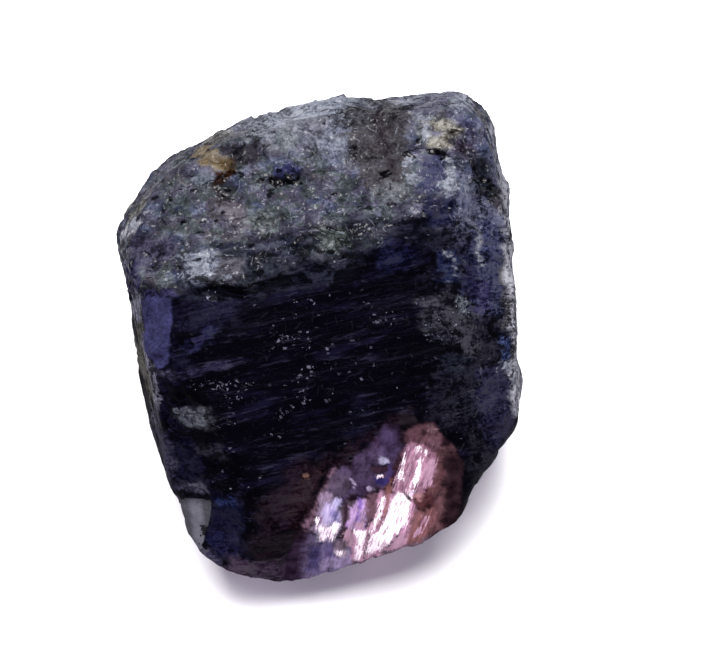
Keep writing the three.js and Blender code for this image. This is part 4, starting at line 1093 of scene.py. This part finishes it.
def faceColours(g, blocky, grained, hairline):
    # black with violet growth lines, short and broken, a painted sheen along some of them, and square-cut
    # flakes of grey
    streak = g.noise(grained, 1.3, 5, 0.65)
    tint = g.blend(streak.smooth(0.5, 0.72), tones["faceBlack"], tones["faceViolet"])
    tint = g.blend(hairline.smooth(0.54, 0.66) * streak.smooth(0.44, 0.62) * 0.6, tint, tones["faceSheen"])
    flakes = g.cells(blocky, 9.0, "CHEBYCHEV")
    where = g.noise(blocky, 1.1, 5, 0.7).smooth(0.54, 0.66) * 0.07 + g.mark("glitter") * 0.35
    chosen = (g.channel(flakes, 0) + where).smooth(0.995, 1.01)
    return g.blend(chosen * g.channel(flakes, 1) ** 2.0, tint, tones["flake"])


def laidWashesAndPaintedLight(g, tint, lightness, drift, fine, grained, hairline, crust):
    # stains, and painted light and shade, that keep the lightness of the grain under them, greyer where it is
    # lightest; each one's colour was mixed with black by its share, so it is divided back first
    share = g.mark("washAndPaintedLight", "Alpha")
    colour = g.vector("DIVIDE", g.mark("washAndPaintedLight", "Color"), g.grey(share))
    lines = hairline.swing(1.3) + g.noise(grained, 2.2, 5, 0.65).swing(1.6)
    rich = lightness + fine.swing(0.9) + drift.swing(0.8) + lines * (1.0 - crust)
    colour = g.gain(rich.smooth(0.05, 1.0) ** 1.3 * 1.8 + 0.14, colour)
    plain = g.grey(g.dot(colour, (0.3, 0.5, 0.2)))
    return g.blend(share, tint, g.blend(rich.smooth(0.55, 1.0) * 0.55, colour, plain))


def pitsAndGlints(g, tint, place, crust, along, across, out):
    # black pits painted in the crust as their shade, and bright crumbs painted as glints where there is
    # glitter: the more of it, the more cells of each size are picked
    pits = g.cells(g.combine(along * 0.55, across, out), 4.2)
    tint = g.blend(g.channel(pits, 1).smooth(0.03, 0.02) * crust * 0.85, tint, tones["shadeBlack"])
    glitter = g.mark("glitter") * g.noise(place, 1.3, 3).smooth(0.42, 0.62)
    grit = g.noise(place, 12.0, 2, 0.6)
    for scale, rare in ((11.0, 0.35), (7.0, 0.15), (4.5, 0.06)):
        cell = g.cells(place, scale)
        picked = (g.channel(cell, 0) + glitter * 0.28 * rare).smooth(1.0, 1.02)
        glintTint = g.blend(g.channel(cell, 1).smooth(0.4, 1.0), tones["crumbShade"], tones["sparkle"])
        shape = (cell.beside("Distance") + grit.swing(0.9)).smooth(0.45, 0.28)
        tint = g.blend(picked * shape, tint, glintTint)
    return tint


def windowColours(g, place):
    # the painted glow under hair-fine steep streaks, with bright and dark slivers feathered along them; where
    # the glow is dim it is lumpy instead
    glow = g.mark("glow", "Color")
    lean = math.radians(17)
    sideways = g.dot(place, (math.cos(lean), *(-math.sin(lean) * upFace[1:])))
    upwards = g.dot(place, (math.sin(lean), *(math.cos(lean) * upFace[1:])))
    steep = g.combine(sideways, upwards * 0.22, 0.0)
    lamella = g.noise(steep, 2.2, 4, 0.65)
    hair = g.noise(g.combine(sideways, upwards * 0.14, 0.0), 9.0, 3, 0.6)
    brightness = lamella.smooth(0.3, 0.7) * 0.5 + g.channel(g.cells(steep, 3.2), 0) * 0.3
    brightness += hair.smooth(0.3, 0.7) * 0.45
    streaky = brightness * 1.35 + 0.32 + g.noise(place, 2.2, 5, 0.65).swing(1.6)
    lumps = g.noise(place, 1.5, 6, 0.7).smooth(0.34, 0.66) * 1.2 + g.channel(g.cells(place, 2.2), 1) * 0.5
    dim = g.channel(glow, 0).smooth(0.06, 0.02) * 0.75
    shown = g.gain((streaky + (lumps - streaky) * dim).most(0.1), glow)
    feather = hair.swing(0.8) + g.noise(place, 6.0, 3, 0.6).swing(0.3)
    streak = hair.smooth(0.50, 0.58) * lamella.smooth(0.38, 0.55)
    # inlays of painted glow in pink and white, and dark cracks with the dimple's painted shade
    inlays = {"panePink": (1.0, 0.0), "paintedGlowWhite": (1.0, 0.85), "paneDark": (0.2, 0.0)}  # feathering, streaks
    for name, (ragged, streaks) in inlays.items():
        tone = g.blend(streak * streaks, g.gain(brightness * 0.5 + 0.6, tones[name]), tones["paneStreak"])
        shown = g.blend((g.mark(name) + feather * ragged).smooth(-0.05, 0.07), shown, tone)
    threads = g.noise(g.combine(sideways, upwards * 0.25, 0.0), 5.5, 3, 0.6)
    return g.blend(threads.smooth(0.58, 0.66) * 0.5, shown, g.tinted(shown, tones["paneFringe"]))


def crystalCoats(g, tint, place, bump, crust, window, grains):
    # matte with a wet gleam on some grains of the crust, a faint gloss on the dark face, and polish and plain
    # transmission where the window glows
    def coat(name, normal):
        return g.add("ShaderNodeBsdfPrincipled", None, {"Base Color": tint, "Normal": normal, **coats[name]})

    leaning = g.scaled(g.vector("ADD", g.cells(place, 7.0), (-0.5, -0.5, -0.5)), 1.2)
    broken = g.vector("NORMALIZE", g.vector("ADD", g.add("ShaderNodeNewGeometry", outlet="Normal"), leaning))
    matte = coat("matte", bump)
    clear = g.add("ShaderNodeBsdfPrincipled", None,
                  {"Base Color": (1.0, 0.95, 0.98, 1.0), "Normal": bump, **coats["clear"]})
    gleaming = g.channel(grains, 0).smooth(0.6, 0.7) * coatShares["wetOnCrust"]
    rough = g.mixed(gleaming, matte, coat("wet", broken))
    face = g.mixed(coatShares["glossyOnFace"], matte, coat("glossy", bump))
    lit = g.channel(g.mark("glow", "Color"), 0).smooth(0.02, 0.3)
    polished = g.mixed(lit * coatShares["glassyOnWindow"], matte, coat("glassy", bump))
    pane = g.mixed(lit * coatShares["clearOnWindow"], polished, clear)
    return g.mixed(window, g.mixed(crust, face, rough), pane)


def tanzanite():
    # crust, dark face and window in one material, told apart by the marks
    material = bpy.data.materials.new("tanzanite")
    g = Graph(material)
    place = g.scaled(g.add("ShaderNodeTexCoord", outlet="Object"), 1000.0)
    bend = g.scaled(g.noise(place, 1.4, 3.0, outlet="Color"), 0.45)
    along, across, out = (g.dot(place, axis) for axis in (grainAxis, levelAxis, liftAxis))
    blocky = g.combine(along * 0.75, g.dot(place, upFace), g.dot(place, outOfFace) * 0.7)
    blocky = g.vector("ADD", blocky, bend)
    grained = g.combine(along * 0.22, across, out)
    hairline = g.noise(g.combine(along * 0.12, across, out), 6.0, 3, 0.6)
    fine = g.noise(place, 4.5, 4, 0.65)

    ragged = fine.swing(0.5)
    farCrust = (g.noise(place, 0.45, 5, 0.6) + fine.swing(0.2)).smooth(0.40, 0.58) * 0.85
    crust = (g.mark("crust") + ragged).smooth(-0.3, 0.3).most(g.mark("hidden") * farCrust)
    window = (g.mark("window") + ragged * 0.6).smooth(-0.1, 0.15)
    crustTint, lightness, grains, drift = crustColours(g, place, blocky, grained)
    tint = g.blend(crust, faceColours(g, blocky, grained, hairline), crustTint)
    tint = laidWashesAndPaintedLight(g, tint, lightness, drift, fine, grained, hairline, crust)
    tint = glintDashes(g, tint, g.vector("ADD", place, bend), crust)

    # the glass facet is even, with a lighter band down its middle, and the left panel is violet
    right = g.dot(place, (1.0, 0.0, 0.0)) - crystal["heart"][0]
    up = g.dot(place, upFace) - float(np.dot(crystal["heart"], upFace))
    band = (right + 6.9 + (up + 10.0) * 0.12).size().smooth(0.55, 0.15)
    glass = g.gain(band * 0.55 + 0.45 + lightness.swing(0.4), tones["glass"])
    tint = g.blend((g.mark("glassFacet") + fine.swing(0.15)).smooth(-0.02, 0.06), tint, glass)
    panel = g.gain(lightness.swing(1.2) + hairline.swing(1.4) + 0.85, tones["panel"])
    tint = g.blend((g.mark("leftPanel") + fine.swing(0.15)).smooth(-0.03, 0.1) * 0.9, tint, panel)

    # broken pale crystal, dimmer low down, and black for dark holes and painted shadows under ledges, with
    # edges along the small cells
    jagged = g.channel(grains, 0).swing(0.5) + fine.swing(0.5)
    shade = (g.channel(grains, 1) * 0.4 + fine * 1.2 - 0.3).smooth(0.15, 0.85)
    paleTint = g.blend(shade, tones["paleShade"], tones["paleLight"])
    paleTint = g.gain(up.smooth(-5.0, 0.0) * 0.6 + 0.4, paleTint)
    tint = g.blend((g.mark("pale") - 0.1 + jagged * 1.4).smooth(0.0, 0.08) * 0.85, tint, paleTint)
    tint = g.blend((g.mark("blackAndShadow") - 0.03 + jagged * 1.2).smooth(0.0, 0.08) * 0.9, tint, tones["shadeBlack"])
    tint = pitsAndGlints(g, tint, place, crust, along, across, out)
    tint = g.blend(window, tint, windowColours(g, place))

    height = fine * 0.5 + g.channel(grains, 1) * 0.35 * crust + hairline * (1.0 - crust) * 0.6
    bump = g.add("ShaderNodeBump", None, {"Strength": 0.7, "Distance": 0.00010, "Height": height})
    surface = crystalCoats(g, tint, place, bump, crust, window, grains)
    inside = g.add("ShaderNodeVolumeAbsorption", None, {"Color": (0.93, 0.75, 0.92, 1.0), "Density": 600.0})
    g.add("ShaderNodeOutputMaterial", None, {"Surface": surface, "Volume": inside}, None)
    return material


body.data.materials.append(tanzanite())
print("crystal finished")

stage = {
    "floorSize": 1.6,
    "floorColour": (0.62, 0.62, 0.62, 1.0),
    "fill": (0.88, 0.78, 1.0),           # colour of the room and the side lamps, all that the shadow gets
    "horizon": (0.1, 0.22),              # up to this height the room has this strength
    "zenith": (0.45, 0.03),              # and from this height up this one
}

lamps = [                                # name, azimuth, elevation, distance, size, watts, colour
    ("overhead", 110, 85, 0.60, 0.40, 14.8, (1.0, 1.0, 1.0)),
    ("left", 170, 30, 0.60, 0.35, 1.5, stage["fill"]),
    ("right", 0, 25, 0.60, 0.35, 1.5, stage["fill"]),
    ("near right", -48, 16, 0.60, 0.25, 0.9, stage["fill"]),
    ("near", -95, 28, 0.60, 0.30, 1.5, stage["fill"]),
]

camera = {
    "distance": 0.1683,                  # metres from the aim point, along the line of sight
    "lens": 142.6,
    "sensor": 36.0,
    "right": 0.00259,                    # the aim point's place beside the heart, and above it
    "up": 0.00027,
}


def buildStage():
    # a square sheet of pale paper at ground level
    half = stage["floorSize"] / 2.0
    mesh = bpy.data.meshes.new("floor")
    corners = [(-half, -half, 0), (half, -half, 0), (half, half, 0), (-half, half, 0)]
    mesh.from_pydata(corners, [], [(0, 1, 2, 3)])
    floor = bpy.data.objects.new("floor", mesh)
    bpy.context.scene.collection.objects.link(floor)
    paper = bpy.data.materials.new("paper")
    g = Graph(paper)
    surface = g.add("ShaderNodeBsdfPrincipled", None, {"Base Color": stage["floorColour"], "Roughness": 0.9})
    g.add("ShaderNodeOutputMaterial", None, {"Surface": surface}, None)
    mesh.materials.append(paper)


def aimedAt(name, data, place, towards):
    # an object that looks back along a direction, from a place
    made = bpy.data.objects.new(name, data)
    made.location = place
    made.rotation_euler = towards.to_track_quat("Z", "Y").to_euler()
    bpy.context.scene.collection.objects.link(made)
    return made


def buildLamps():
    # square soft boxes around the crystal, turned to where it rests
    for name, azimuth, elevation, distance, size, watts, colour in lamps:
        data = bpy.data.lights.new(name, "AREA")
        data.shape = "SQUARE"
        data.size = size
        data.energy = watts
        data.color = colour
        towards = Vector(directionOf(azimuth, elevation))
        aimedAt(name, data, towards * distance, towards)


def buildRoom():
    # soft light from all sides, brighter at eye level than overhead
    room = bpy.data.worlds.new("room")
    bpy.context.scene.world = room
    g = Graph(room)
    height = g.add("ShaderNodeSeparateXYZ", None, {0: g.add("ShaderNodeTexCoord", outlet="Generated")}, "Z")
    (low, horizon), (high, zenith) = stage["horizon"], stage["zenith"]
    strength = g.add("ShaderNodeMapRange", {"interpolation_type": "SMOOTHSTEP"},
                     {"Value": height, "From Min": low, "From Max": high,
                      "To Min": horizon, "To Max": zenith})
    light = g.add("ShaderNodeBackground", None, {"Color": (*stage["fill"], 1.0), "Strength": strength})
    g.add("ShaderNodeOutputWorld", None, {"Surface": light}, None)


def buildCamera():
    # square to the dark face's map, at the distance and lens that the framing needs
    data = bpy.data.cameras.new("camera")
    data.lens = camera["lens"]
    data.sensor_width = camera["sensor"]
    data.clip_start = 0.01
    data.clip_end = 10.0
    aim = Vector(crystal["heart"]) * 0.001
    aim += Vector((1, 0, 0)) * camera["right"] + Vector(upFace) * camera["up"]
    towards = Vector(outOfFace)
    bpy.context.scene.camera = aimedAt("camera", data, aim + towards * camera["distance"], towards)


buildStage()
buildLamps()
buildRoom()
buildCamera()
bpy.context.scene.view_settings.view_transform = "Standard"
print("stage ready")
